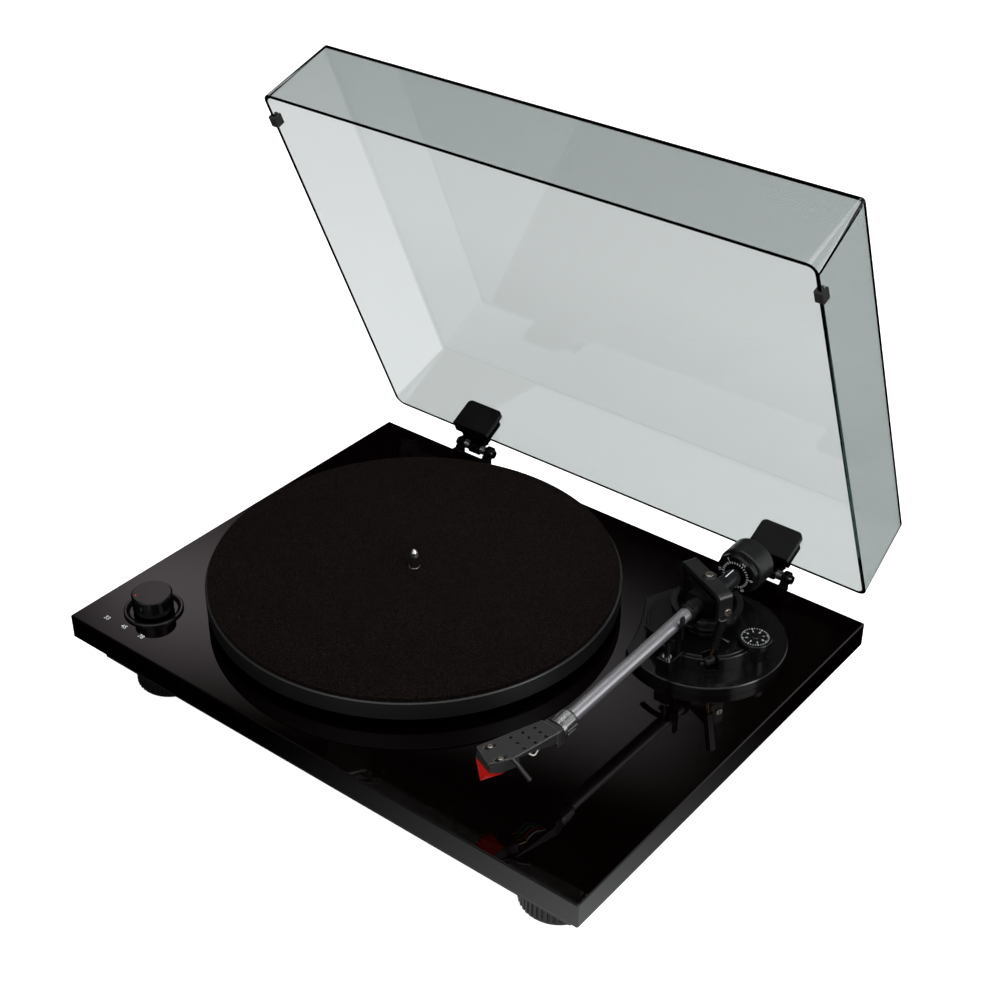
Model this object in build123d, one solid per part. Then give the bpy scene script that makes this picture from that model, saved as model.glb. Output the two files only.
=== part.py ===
"""Belt-drive record player: two-layer plinth, felt-topped platter, gimbal tonearm and hinged dust cover.

Millimetres, +X to the tonearm side, +Y to the hinges, +Z up. The feet stand on z = 0.
"""
from build123d import *
import math
import os

os.makedirs("parts", exist_ok=True)

# Plinth
PLINTH_W = 450.0
PLINTH_D = 344.4
PLINTH_Y = -32.0  # the plinth lies in front of the origin, because the open cover reaches behind it
TOP_H = 18.6
LOWER_H = 20.0
LOWER_INSET_X = 15.0
LOWER_INSET_Y = 14.0
LOWER_WALL = 16.0
REBATE_W = 10.0
COVER_PLATE_T = 3.0
FOOT_H = 24.4
FOOT_R = 26.3
FOOT_X = 177.0
FOOT_Y = 125.0
FOOT_RIBS = 44
PAD_T = 2.0
LOWER_Z = FOOT_H
TOP_Z = FOOT_H + LOWER_H
DECK = TOP_Z + TOP_H

# Platter and drive
SPINDLE_X = -50.2
SPINDLE_Y = PLINTH_Y + 2.5
PLATTER_R = 150.0
PLATTER_Z0 = DECK + 5.7
PLATTER_Z1 = DECK + 19.8
PLATTER_RIM_W = 7.0
PLATTER_WEB = 4.0
MAT_R = 148.2
MAT_T = 2.8
PIN_R = 3.575
PIN_TOP = DECK + 37.6
SHAFT_R = 5.0
SEAT_R = 4.4  # the spindle is thicker below the record, so that the record's hole meets a true 7.15 mm pin
SEAT_TOP = DECK + 22.8
SUB_R = 62.0
PULLEY_R = 6.2
MOTOR_DX = -61.8
MOTOR_DY = -62.5
BELT_GAP = 0.3
BELT_T = 0.6
RUN_FIT = 0.05

# Speed selector
KNOB_X = -183.0
KNOB_Y = PLINTH_Y - 130.5
KNOB_R = 14.65
KNOB_Z0 = DECK + 2.2
KNOB_Z1 = DECK + 15.5
BEZEL_R = 21.4
BEZEL_H = 1.8

# Tonearm base
PIVOT_X = 147.5
PIVOT_Y = PLINTH_Y + 82.0
BASE_R = 58.0
BASE_H = 6.5
BASE_CUT_R = 167.0
TIER_R = 41.0
TIER_TOP = DECK + 18.5
TIER_STEP = 0.9
TIER_STEP_W = 2.6
COLUMN_R = 9.0
COLLAR_R = 16.2
COLLAR_TOP = TIER_TOP + 1.4
DIAL_X = PIVOT_X + 38.2
DIAL_Y = PIVOT_Y + 2.7
DIAL_R = 11.8
DIAL_BOSS_R = 9.9
LIFT_R = 50.0
BOSS_X = PIVOT_X + 0.8
BOSS_Y = PIVOT_Y - 46.5
LEVER_X = PIVOT_X + 22.3
LEVER_Y = PIVOT_Y - 30.0
LEVER_Z = DECK + 14.0
LEVER_HEADING = 67.1  # direction of the lever's axle, degrees from +X
LEVER_LEAN = 15.0

# Tonearm, in a frame whose origin is where the two bearing axes cross
GIMBAL_Z = DECK + 43.5
YOKE_TURN = -25.0
YOKE_HALF = 24.9
YOKE_T = 3.5
YOKE_FRONT = -7.1
YOKE_BACK = 3.9
YOKE_TOP = DECK + 58.0
EAR_R = 5.1
EAR_TOP = YOKE_TOP + 0.8
CUP_R = 24.9
CUP_RIM = DECK + 36.5
CUP_FLOOR = DECK + 29.0
ARM_TILT = 1.45
TUBE_R = 4.8
TUBE_Z = -1.6
STUB_Z = -6.3
SHELL_Y = -174.0
NUT_L = 15.2
OFFSET_ANGLE = 21.0
SHELL_TOP = 6.3
CARTRIDGE_B = 3.0
SCREW_PITCH = 12.7
SCREW_A = 45.2
WEIGHT_R = 17.0
WEIGHT_Y0 = 41.8
WEIGHT_L = 18.2
SCALE_R = 15.5
SCALE_L = 5.5
SLEEVE_R = 6.6
STUB_R = 4.5

# Dust cover, in a closed frame: origin at the rear edge of the rim, x along the hinges, y to the rear
COVER_W = 440.7
COVER_D = 333.4
COVER_H = 63.4
COVER_TAPER = 5.0
COVER_T = 3.0
COVER_CORNER = 8.0
COVER_OPEN = 67.2
HINGE_Y = PLINTH_Y + 184.0
HINGE_Z = DECK + 0.6
RIM_BACK = 17.0
RIM_RISE = 1.9
HINGE_X = 140.0
PADDLE_W = 34.0
PADDLE_H = 24.0
HINGE_PIN_R = 2.0


def save(shape, node):
    """Write one sub-part."""
    export_step(shape, f"parts/{node}.step")


def disc(radius, z0, z1, x=0.0, y=0.0):
    """Upright cylinder from z0 to z1."""
    return Pos(x, y, (z0 + z1) / 2) * Cylinder(radius, z1 - z0)


def washer(outer, inner, z0, z1, x=0.0, y=0.0):
    """Upright ring from z0 to z1."""
    return disc(outer, z0, z1, x, y) - disc(inner, z0 - 1, z1 + 1, x, y)


def block(x0, x1, y0, y1, z0, z1):
    """Box between two corners."""
    centre = Pos((x0 + x1) / 2, (y0 + y1) / 2, (z0 + z1) / 2)
    return centre * Box(x1 - x0, y1 - y0, z1 - z0)


def plinth_block(half_x, half_y, z0, z1):
    """Box centred on the plinth."""
    return block(-half_x, half_x, PLINTH_Y - half_y, PLINTH_Y + half_y, z0, z1)


def rod(radius, start, end):
    """Round bar between two points."""
    axis = Vector(*end) - Vector(*start)
    return Plane(origin=start, z_dir=axis) * Pos(0, 0, axis.length / 2) * Cylinder(radius, axis.length)


def turned(points, x=0.0, y=0.0):
    """Solid of revolution about an upright axis from (radius, z) points."""
    outline = Polyline(*[(r, 0, z) for r, z in points], close=True)
    return Pos(x, y, 0) * revolve(make_face(outline), Axis.Z)


def ribbed_disc(radius, depth, ribs, land, z0, z1):
    """Upright cylinder whose side is cut into flat-topped ribs, each a share of the pitch wide."""
    step = 2 * math.pi / ribs
    slope = (1 - land) / 4
    low = radius - depth
    outline = []
    for i in range(ribs):
        for share, r in ((0.0, radius), (land, radius), (land + slope, low), (1 - slope, low)):
            angle = step * (i + share)
            outline.append((r * math.cos(angle), r * math.sin(angle)))
    face = make_face(Polyline(*outline, close=True))
    return Pos(0, 0, z0) * extrude(face, z1 - z0)


def corners(half_x, half_y):
    """The four corners about the plinth's centre."""
    return [(sx * half_x, PLINTH_Y + sy * half_y) for sx in (-1, 1) for sy in (-1, 1)]


# ---------------------------------------------------------------- plinth

LOWER_X = PLINTH_W / 2 - LOWER_INSET_X
LOWER_Y = PLINTH_D / 2 - LOWER_INSET_Y
CAVITY_X = LOWER_X - LOWER_WALL
CAVITY_Y = LOWER_Y - LOWER_WALL
SHELF_Z = LOWER_Z + COVER_PLATE_T
MOTOR_X = SPINDLE_X + MOTOR_DX
MOTOR_Y = SPINDLE_Y + MOTOR_DY
BEARING_R = 11.5
MOTOR_CAN_R = 17.5
SWITCH_NECK_R = 4.6
PANEL_X = 100.0
PANEL_HALF = 50.0
PANEL_SLOT_Z0 = LOWER_Z + 4.6
PANEL_SLOT_Z1 = LOWER_Z + 17.1
SCREW_R = 1.6
SCREW_HEAD_R = 3.2
SCREW_HEAD_H = 1.8
BOLT_R = 2.5


def make_top_plinth():
    slab = plinth_block(PLINTH_W / 2, PLINTH_D / 2, TOP_Z, DECK)
    slab = chamfer(slab.edges().group_by(Axis.Z)[-1] + slab.edges().filter_by(Axis.Z), 0.8)
    slab -= disc(BEARING_R, TOP_Z - 1, DECK + 1, SPINDLE_X, SPINDLE_Y)
    slab -= disc(MOTOR_CAN_R + 1.5, TOP_Z - 1, DECK + 1, MOTOR_X, MOTOR_Y)
    slab -= disc(SWITCH_NECK_R, TOP_Z - 1, DECK + 1, KNOB_X, KNOB_Y)
    slab -= disc(COLUMN_R, TOP_Z - 1, DECK + 1, PIVOT_X, PIVOT_Y)
    for x, y in motor_screw_places():
        slab -= disc(SCREW_R, DECK - 8, DECK + 1, x, y)
    for x in bracket_screw_places():
        slab -= Pos(x, BRACKET_Y0, BRACKET_SCREW_Z) * Rot(90, 0, 0) * Cylinder(SCREW_R, 13)
    return slab


def make_lower_plinth():
    frame = plinth_block(LOWER_X, LOWER_Y, LOWER_Z, TOP_Z)
    frame = chamfer(frame.edges().filter_by(Axis.Z), 0.8)
    frame -= plinth_block(CAVITY_X, CAVITY_Y, LOWER_Z - 1, TOP_Z + 1)
    for x, y in corners(CAVITY_X - 22, CAVITY_Y - 22):
        frame += block(x - 22, x + 22, y - 22, y + 22, SHELF_Z, SHELF_Z + 7)
    frame -= plinth_block(CAVITY_X + REBATE_W, CAVITY_Y + REBATE_W, LOWER_Z - 1, SHELF_Z)
    for x, y in corners(FOOT_X, FOOT_Y):
        frame -= disc(BOLT_R, LOWER_Z, SHELF_Z + 8, x, y)
    for x, y in cover_screw_places():
        frame -= disc(SCREW_R, LOWER_Z, SHELF_Z + 9, x, y)
    back = PLINTH_Y + LOWER_Y
    half = PANEL_HALF - 4
    frame -= block(PANEL_X - half, PANEL_X + half, back - 20, back + 1, PANEL_SLOT_Z0, PANEL_SLOT_Z1)
    return frame


def motor_screw_places():
    angles = [math.radians(a) for a in (30, 150, 270)]
    return [(MOTOR_X + 25 * math.cos(a), MOTOR_Y + 25 * math.sin(a)) for a in angles]


def bracket_screw_places():
    return [side * HINGE_X + dx for side in (-1, 1) for dx in (-9, 9)]


def cover_screw_places():
    side = CAVITY_X + REBATE_W / 2
    front = CAVITY_Y + REBATE_W / 2
    return corners(side, 85) + corners(120, front)


def make_base_cover():
    cover = plinth_block(CAVITY_X + REBATE_W - 0.5, CAVITY_Y + REBATE_W - 0.5, LOWER_Z, SHELF_Z)
    for x, y in corners(FOOT_X, FOOT_Y):
        cover -= disc(BOLT_R, LOWER_Z - 1, SHELF_Z + 1, x, y)
    for x, y in cover_screw_places():
        cover -= disc(SCREW_R, LOWER_Z - 1, SHELF_Z + 1, x, y)
    return cover


def pan_screw(x, y, z, length, up):
    """Pan-head screw: the head rests on z and the shank runs away from it."""
    sign = -1 if up else 1
    head = disc(SCREW_HEAD_R, min(z, z + sign * SCREW_HEAD_H), max(z, z + sign * SCREW_HEAD_H), x, y)
    shank = disc(SCREW_R, min(z, z - sign * length), max(z, z - sign * length), x, y)
    top = z + sign * SCREW_HEAD_H
    slot = Pos(x, y, top) * (Box(0.8, 4.2, 1.6) + Box(4.2, 0.8, 1.6))
    return head + shank - slot


def make_frame_screws():
    screws = [pan_screw(x, y, LOWER_Z, 10, True) for x, y in cover_screw_places()]
    for x, y in motor_screw_places():
        screws.append(pan_screw(x, y, DECK + MOTOR_PLATE_T, 9, False))
    for x in bracket_screw_places():
        place = Pos(x, BRACKET_Y1, BRACKET_SCREW_Z) * Rot(-90, 0, 0)
        screws.append(place * pan_screw(0, 0, 0, 9, False))
    return Compound(screws)


def make_feet():
    foot = ribbed_disc(FOOT_R, 0.9, FOOT_RIBS, 0.5, PAD_T + 1.5, FOOT_H - 3)
    foot += disc(FOOT_R - 1.2, PAD_T, PAD_T + 1.5)
    foot += disc(FOOT_R - 1.6, FOOT_H - 3, FOOT_H)
    foot -= disc(BOLT_R, PAD_T - 1, FOOT_H + 1)
    foot -= disc(BOLT_R + 2.2, PAD_T - 1, 10)
    return Compound([Pos(x, y, 0) * foot for x, y in corners(FOOT_X, FOOT_Y)])


def make_foot_pads():
    pad = disc(FOOT_R - 4, 0, PAD_T)
    pad = chamfer(pad.edges().group_by(Axis.Z)[0], 0.5)
    return Compound([Pos(x, y, 0) * pad for x, y in corners(FOOT_X, FOOT_Y)])


def make_foot_bolts():
    bolt = disc(BOLT_R, 10, SHELF_Z + 5)
    head = disc(BOLT_R + 2, 5, 10)
    head -= Pos(0, 0, 5) * extrude(RegularPolygon(2.2, 6), 3)
    bolt += head
    return Compound([Pos(x, y, 0) * bolt for x, y in corners(FOOT_X, FOOT_Y)])


def make_terminal_panel():
    back = PLINTH_Y + LOWER_Y
    x0 = PANEL_X - PANEL_HALF
    panel = block(x0, PANEL_X + PANEL_HALF, back, back + 1.5, LOWER_Z + 2.6, LOWER_Z + 18.6)
    for x in JACK_PLACES:
        panel -= Pos(x, back, TERMINAL_Z) * Rot(90, 0, 0) * Cylinder(JACK_R, 8)
    panel -= Pos(GROUND_X, back, TERMINAL_Z) * Rot(90, 0, 0) * Cylinder(GROUND_R, 8)
    panel -= block(INLET_X - 5, INLET_X + 5, back - 2, back + 3, TERMINAL_Z - 5, TERMINAL_Z + 5)
    return panel


TERMINAL_Z = LOWER_Z + 10.8
JACK_R = 4.15
JACK_L = 9.0
JACK_PLACES = (PANEL_X - 20, PANEL_X - 3)
GROUND_X = PANEL_X - 36
GROUND_R = 1.9
INLET_X = PANEL_X + 34


def along_back(radius, y0, y1, x, z):
    """Cylinder along Y from y0 to y1, measured from the lower plinth's rear face."""
    back = PLINTH_Y + LOWER_Y
    return Pos(x, back + (y0 + y1) / 2, z) * Rot(90, 0, 0) * Cylinder(radius, y1 - y0)


def make_rca_jacks():
    jacks = []
    for x in JACK_PLACES:
        jack = along_back(JACK_R, -8, 1.5 + JACK_L, x, TERMINAL_Z)
        jack += along_back(5.6, 1.5, 2.7, x, TERMINAL_Z)
        jack += along_back(5.6, -10, 0, x, TERMINAL_Z)
        jack -= along_back(3.2, 2.5, 20, x, TERMINAL_Z)
        jack += along_back(2.6, 1, 8.5, x, TERMINAL_Z)
        jack -= along_back(1.6, 3, 20, x, TERMINAL_Z)
        jacks.append(jack)
    return Compound(jacks)


def make_ground_post():
    post = along_back(GROUND_R, -6, 8, GROUND_X, TERMINAL_Z)
    post += along_back(3.4, 1.5, 2.3, GROUND_X, TERMINAL_Z)
    back = PLINTH_Y + LOWER_Y
    thumb = Rot(90, 0, 0) * ribbed_disc(4.4, 0.5, 20, 0.5, -7.2, -3.4)
    post += Pos(GROUND_X, back, TERMINAL_Z) * thumb
    return post


def make_dc_inlet():
    back = PLINTH_Y + LOWER_Y
    x0 = INLET_X - 5
    inlet = block(x0, INLET_X + 5, back - 12, back + 3, TERMINAL_Z - 5, TERMINAL_Z + 5)
    inlet -= along_back(3.2, -7, 5, INLET_X, TERMINAL_Z)
    inlet += along_back(1.0, -7.5, 1.5, INLET_X, TERMINAL_Z)
    return inlet


def make_control_board():
    z = SHELF_Z + 5.0
    y0 = PLINTH_Y + 84
    board = block(20, 125, y0, y0 + 50, z, z + 1.6)
    for x in (26, 119):
        for y in (y0 + 6, y0 + 44):
            board += disc(3, SHELF_Z, z, x, y)
    board += block(30, 48, y0 + 8, y0 + 26, z + 1.6, z + 6)
    board += block(70, 84, y0 + 12, y0 + 20, z + 1.6, z + 3.4)
    for x in (56, 96, 108):
        board += disc(3.2, z + 1.6, z + 8, x, y0 + 34)
    return board


# ---------------------------------------------------------------- bearing, motor and platter

MOTOR_PLATE_T = 2.0
BUSH_R = 8.0
BALL_R = 2.5
WELL_Z = DECK - 30.0
SUB_Z0 = DECK + 6.0
SUB_Z1 = PLATTER_Z1 - PLATTER_WEB
BELT_Z0 = DECK + 8.0
BELT_Z1 = DECK + 13.0


def make_bearing_housing():
    housing = disc(BEARING_R, WELL_Z - 3, DECK, SPINDLE_X, SPINDLE_Y)
    housing += disc(24, DECK, DECK + 3, SPINDLE_X, SPINDLE_Y)
    housing -= disc(BUSH_R, WELL_Z, DECK + 4, SPINDLE_X, SPINDLE_Y)
    return housing


def make_bearing_bush():
    return washer(BUSH_R, SHAFT_R + RUN_FIT, WELL_Z + 5, DECK + 2.5, SPINDLE_X, SPINDLE_Y)


def make_thrust_ball():
    return Pos(SPINDLE_X, SPINDLE_Y, WELL_Z + BALL_R) * Sphere(BALL_R)


def make_motor_body():
    body = disc(MOTOR_CAN_R, DECK - 24, DECK, MOTOR_X, MOTOR_Y)
    body = fillet(body.edges().group_by(Axis.Z)[0], 2)
    return body - disc(1.5 + RUN_FIT, DECK - 22, DECK + 1, MOTOR_X, MOTOR_Y)


def make_motor_plate():
    plate = disc(30, DECK, DECK + MOTOR_PLATE_T, MOTOR_X, MOTOR_Y)
    plate -= disc(5, DECK - 1, DECK + 4, MOTOR_X, MOTOR_Y)
    for x, y in motor_screw_places():
        plate -= disc(SCREW_R, DECK - 1, DECK + 4, x, y)
    return plate


def make_motor_shaft():
    return disc(1.5, DECK - 21, BELT_Z1 + 1.5, MOTOR_X, MOTOR_Y)


def make_motor_pulley():
    pulley = disc(PULLEY_R, BELT_Z0 - 0.5, BELT_Z1 + 0.5, MOTOR_X, MOTOR_Y)
    for z in (BELT_Z0 - 2, BELT_Z1 + 0.5):
        pulley += disc(PULLEY_R + 1.8, z, z + 1.5, MOTOR_X, MOTOR_Y)
    return pulley - disc(1.5, BELT_Z0 - 3, BELT_Z1 + 3, MOTOR_X, MOTOR_Y)


def belt_outline(grow):
    """Outline of a loop round the sub-platter and the pulley, grown outwards."""
    length = math.hypot(MOTOR_DX, MOTOR_DY)
    heading = math.atan2(MOTOR_DY, MOTOR_DX)
    big = SUB_R + grow
    small = PULLEY_R + grow
    spread = math.acos((SUB_R - PULLEY_R) / length)

    def on(cx, cy, radius, angle):
        return (cx + radius * math.cos(angle), cy + radius * math.sin(angle))

    upper = heading + spread
    lower = heading - spread
    far = heading + math.pi
    big_up = on(SPINDLE_X, SPINDLE_Y, big, upper)
    big_low = on(SPINDLE_X, SPINDLE_Y, big, lower)
    small_up = on(MOTOR_X, MOTOR_Y, small, upper)
    small_low = on(MOTOR_X, MOTOR_Y, small, lower)
    edges = [
        ThreePointArc(big_up, on(SPINDLE_X, SPINDLE_Y, big, far), big_low),
        Line(big_low, small_low),
        ThreePointArc(small_low, on(MOTOR_X, MOTOR_Y, small, heading), small_up),
        Line(small_up, big_up),
    ]
    return make_face(Wire(edges))


def make_drive_belt():
    outer = extrude(belt_outline(BELT_GAP + BELT_T), BELT_Z1 - BELT_Z0)
    inner = extrude(belt_outline(BELT_GAP), BELT_Z1 - BELT_Z0)
    return Pos(0, 0, BELT_Z0) * (outer - inner)


def make_sub_platter():
    hub = disc(SUB_R, SUB_Z0 + 1, SUB_Z1, SPINDLE_X, SPINDLE_Y)
    hub += disc(SUB_R + 1.5, SUB_Z1 - 1.6, SUB_Z1, SPINDLE_X, SPINDLE_Y)
    hub -= washer(SUB_R - 4, 16, SUB_Z0, SUB_Z1 - 3, SPINDLE_X, SPINDLE_Y)
    return hub - disc(SHAFT_R, SUB_Z0, SUB_Z1 + 1, SPINDLE_X, SPINDLE_Y)


def make_spindle():
    low = WELL_Z + 2 * BALL_R + 0.05
    tip = [(0, PIN_TOP), (1.1, PIN_TOP - 0.3), (2.6, PIN_TOP - 2.4), (PIN_R, PIN_TOP - 5.5)]
    seat = [(PIN_R, SEAT_TOP), (SEAT_R, SEAT_TOP), (SEAT_R, SUB_Z1), (SHAFT_R, SUB_Z1)]
    foot = [(SHAFT_R, low + 0.6), (SHAFT_R - 0.6, low), (0, low)]
    return turned(tip + seat + foot, SPINDLE_X, SPINDLE_Y)


def make_platter():
    inner = PLATTER_R - PLATTER_RIM_W
    under = PLATTER_Z1 - PLATTER_WEB
    profile = [
        (SEAT_R, under),
        (inner - 2, under),
        (inner, under - 2),
        (inner, PLATTER_Z0),
        (PLATTER_R - 0.8, PLATTER_Z0),
        (PLATTER_R, PLATTER_Z0 + 0.8),
        (PLATTER_R, PLATTER_Z1 - 0.7),
        (PLATTER_R - 0.7, PLATTER_Z1),
        (SEAT_R, PLATTER_Z1),
    ]
    return turned(profile, SPINDLE_X, SPINDLE_Y)


def make_slip_mat():
    return washer(MAT_R, SEAT_R, PLATTER_Z1, PLATTER_Z1 + MAT_T, SPINDLE_X, SPINDLE_Y)


# ---------------------------------------------------------------- speed selector

def make_speed_switch():
    half = 6.5
    x0 = KNOB_X - half
    y0 = KNOB_Y - half
    body = block(x0, x0 + 2 * half, y0, y0 + 2 * half, TOP_Z - 8.5, TOP_Z)
    body += disc(SWITCH_NECK_R, TOP_Z, DECK + 1.2, KNOB_X, KNOB_Y)
    return body - disc(3 + RUN_FIT, TOP_Z - 6, DECK + 2, KNOB_X, KNOB_Y)


def make_knob_ring():
    outer = [(BEZEL_R - 4.4, DECK), (BEZEL_R, DECK), (BEZEL_R, DECK + BEZEL_H - 0.7)]
    inner = [(BEZEL_R - 0.8, DECK + BEZEL_H), (BEZEL_R - 2.0, DECK + BEZEL_H), (BEZEL_R - 4.4, DECK + 0.5)]
    return turned(outer + inner, KNOB_X, KNOB_Y)


def make_speed_knob():
    profile = [
        (0, KNOB_Z0),
        (KNOB_R - 0.4, KNOB_Z0),
        (KNOB_R, KNOB_Z0 + 0.4),
        (KNOB_R, KNOB_Z1 - 1.0),
        (KNOB_R - 1.0, KNOB_Z1),
        (0, KNOB_Z1),
    ]
    return turned(profile, KNOB_X, KNOB_Y) + disc(3, TOP_Z - 5, KNOB_Z0, KNOB_X, KNOB_Y)


# ---------------------------------------------------------------- tonearm base

def make_arm_base():
    base = disc(BASE_R, DECK, DECK + BASE_H, PIVOT_X, PIVOT_Y)
    base -= disc(BASE_CUT_R, DECK - 1, DECK + BASE_H + 1, SPINDLE_X, SPINDLE_Y)
    base = chamfer(base.edges().group_by(Axis.Z)[-1], 0.7)
    return base - disc(COLUMN_R, DECK - 1, DECK + BASE_H + 1, PIVOT_X, PIVOT_Y)


def lever_place(shape):
    """Put a shape, built with the lever's axle along X, at the lever's pivot."""
    return Pos(LEVER_X, LEVER_Y, LEVER_Z) * Rot(0, 0, LEVER_HEADING) * shape


def make_arm_housing():
    low = DECK + BASE_H
    rim = TIER_TOP - TIER_STEP
    tier = disc(TIER_R, low, rim, PIVOT_X, PIVOT_Y)
    tier = chamfer(tier.edges().group_by(Axis.Z)[-1], 0.6)
    boss = Pos(DIAL_X, DIAL_Y, (low + rim) / 2) * Cone(DIAL_BOSS_R - 1.2, DIAL_BOSS_R, rim - low)
    tier += chamfer(boss.edges().group_by(Axis.Z)[-1], 0.6)
    raised = disc(TIER_R - TIER_STEP_W, low, TIER_TOP, PIVOT_X, PIVOT_Y)
    raised += block(BOSS_X - 5.5, BOSS_X + 5.5, BOSS_Y - 7.5, BOSS_Y + 12, low, TIER_TOP)
    tier += chamfer(raised.edges().group_by(Axis.Z)[-1], 0.4)
    tier -= disc(DIAL_R + 0.5, rim, TIER_TOP + 1, DIAL_X, DIAL_Y)
    tier -= disc(3 + RUN_FIT, low + 2, TIER_TOP + 1, DIAL_X, DIAL_Y)
    tier -= lever_place(block(-4.2, 4.2, -25, 5, -5.5, 6))
    tier -= lever_place(Rot(0, 90, 0) * Cylinder(1.5 + RUN_FIT, 16))
    tier -= disc(2.0 + RUN_FIT, low + 1, TIER_TOP + 1, PIVOT_X + 1.5, PIVOT_Y - LIFT_R)
    return tier - disc(COLUMN_R, low - 1, TIER_TOP + 1, PIVOT_X, PIVOT_Y)


def make_arm_column():
    column = disc(COLUMN_R, TOP_Z - 4, TIER_TOP, PIVOT_X, PIVOT_Y)
    column += disc(COLUMN_R + 5, TOP_Z - 4, TOP_Z, PIVOT_X, PIVOT_Y)
    collar = disc(COLLAR_R, TIER_TOP, COLLAR_TOP, PIVOT_X, PIVOT_Y)
    column += chamfer(collar.edges().group_by(Axis.Z)[-1], 0.5)
    return column - disc(3 + RUN_FIT, TOP_Z - 2, COLLAR_TOP + 1, PIVOT_X, PIVOT_Y)


def make_arm_rest():
    """Cradle with a low lip on the platter side and a tall prong on the other."""
    y0 = PIVOT_Y - 43.5
    y1 = y0 + 3.5
    floor = GIMBAL_Z - 9.2
    rest = block(PIVOT_X - 4.0, PIVOT_X + 5.4, y0, y1, TIER_TOP, TIER_TOP + 2)
    rest += block(PIVOT_X + 1.4, PIVOT_X + 5.4, y0, y1, TIER_TOP, floor)
    rest += block(PIVOT_X - 6.4, PIVOT_X + 7.6, y0, y1, floor - 2.2, floor)
    rest += block(PIVOT_X + 5.4, PIVOT_X + 7.6, y0, y1, floor - 2.2, floor + 16)
    rest += block(PIVOT_X - 6.4, PIVOT_X - 5.0, y0, y1, floor - 2.2, floor + 1.2)
    return chamfer(rest.edges().filter_by(Axis.Y).group_by(Axis.Z)[-1], 0.7)


def make_lift_cylinder():
    x = PIVOT_X + 1.5
    y = PIVOT_Y - LIFT_R
    return washer(3.2, 2.0 + RUN_FIT, TIER_TOP, TIER_TOP + 1.6, x, y)


def make_lift_bar():
    """Curved rest under the tube, on a plunger."""
    top = GIMBAL_Z - 8.4
    bar = washer(LIFT_R + 1.6, LIFT_R - 1.6, top - 2.4, top)
    wedge = Polyline((0, 0), (-24, -60), (7.5, -60), close=True)
    bar &= Pos(0, 0, top - 3) * extrude(make_face(wedge), 4)
    bar = Pos(PIVOT_X, PIVOT_Y, 0) * bar
    return bar + disc(2.0, DECK + BASE_H + 7, top - 1, PIVOT_X + 1.5, PIVOT_Y - LIFT_R)


def make_cue_lever():
    hub = Rot(0, 90, 0) * Cylinder(3.2, 7.6)
    hub += Rot(0, 90, 0) * Cylinder(1.5, 15)
    stem = Pos(0, 0, 8) * Cylinder(1.3, 16)
    return lever_place(hub + Rot(LEVER_LEAN, 0, 0) * stem)


def make_cue_handle():
    grip = Box(7, 4.2, 29)
    grip = fillet(grip.edges().filter_by(Axis.Z), 1.6)
    grip = fillet(grip.edges().group_by(Axis.Z)[-1], 1.2)
    grip = Pos(0, 0, 16 + 14.5) * grip
    return lever_place(Rot(LEVER_LEAN, 0, 0) * grip)


def make_antiskate_dial():
    dial = disc(DIAL_R, TIER_TOP - 0.6, TIER_TOP + 3.6, DIAL_X, DIAL_Y)
    dial = chamfer(dial.edges().group_by(Axis.Z)[-1], 0.5)
    hub = disc(3.2, TIER_TOP + 3, TIER_TOP + 4.6, DIAL_X, DIAL_Y)
    dial += fillet(hub.edges().group_by(Axis.Z)[-1], 0.6)
    return dial + disc(3, DECK + BASE_H + 3, TIER_TOP, DIAL_X, DIAL_Y)


# ---------------------------------------------------------------- tonearm yoke

def yoke_place(shape):
    """Turn a shape, built on the pivot with the bearing axis along X, into the yoke's heading."""
    return Pos(PIVOT_X, PIVOT_Y, 0) * Rot(0, 0, YOKE_TURN) * shape


def make_yoke():
    """Bent band over the arm, with an ear behind it for the vertical bearing's screw."""
    inner = YOKE_HALF - YOKE_T
    yoke = block(-YOKE_HALF, YOKE_HALF, YOKE_FRONT, YOKE_BACK, CUP_RIM, YOKE_TOP)
    yoke = fillet(yoke.edges().filter_by(Axis.Y).group_by(Axis.Z)[-1], 4.2)
    opening = block(-inner, inner, YOKE_FRONT - 1, YOKE_BACK + 1, CUP_RIM - 1, YOKE_TOP - YOKE_T)
    yoke -= fillet(opening.edges().filter_by(Axis.Y).group_by(Axis.Z)[-1], 1.2)
    yoke = chamfer(yoke.edges().group_by(Axis.Z)[-1], 0.4)
    ear = disc(EAR_R, YOKE_TOP - YOKE_T, EAR_TOP)
    yoke += chamfer(ear.edges().group_by(Axis.Z)[-1], 0.4)
    for side in (-1, 1):
        place = Pos(side * (YOKE_HALF - YOKE_T / 2), 0, GIMBAL_Z)
        yoke -= place * Rot(0, 90, 0) * Cylinder(1.75, YOKE_T + 2)
    return yoke_place(yoke)


def bias_place(shape):
    """Turn a shape, built along X beside the pivot, into the side force pin's place."""
    return Pos(PIVOT_X, PIVOT_Y, COLLAR_TOP + 2.2) * Rot(0, 0, -12) * Pos(0, -7.8, 0) * shape


def bias_rod():
    """Thin rod that reaches out of the cup to the side force's lever."""
    return bias_place(rod(0.6, (11, 0, 0), (24, 0, 0)))


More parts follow.
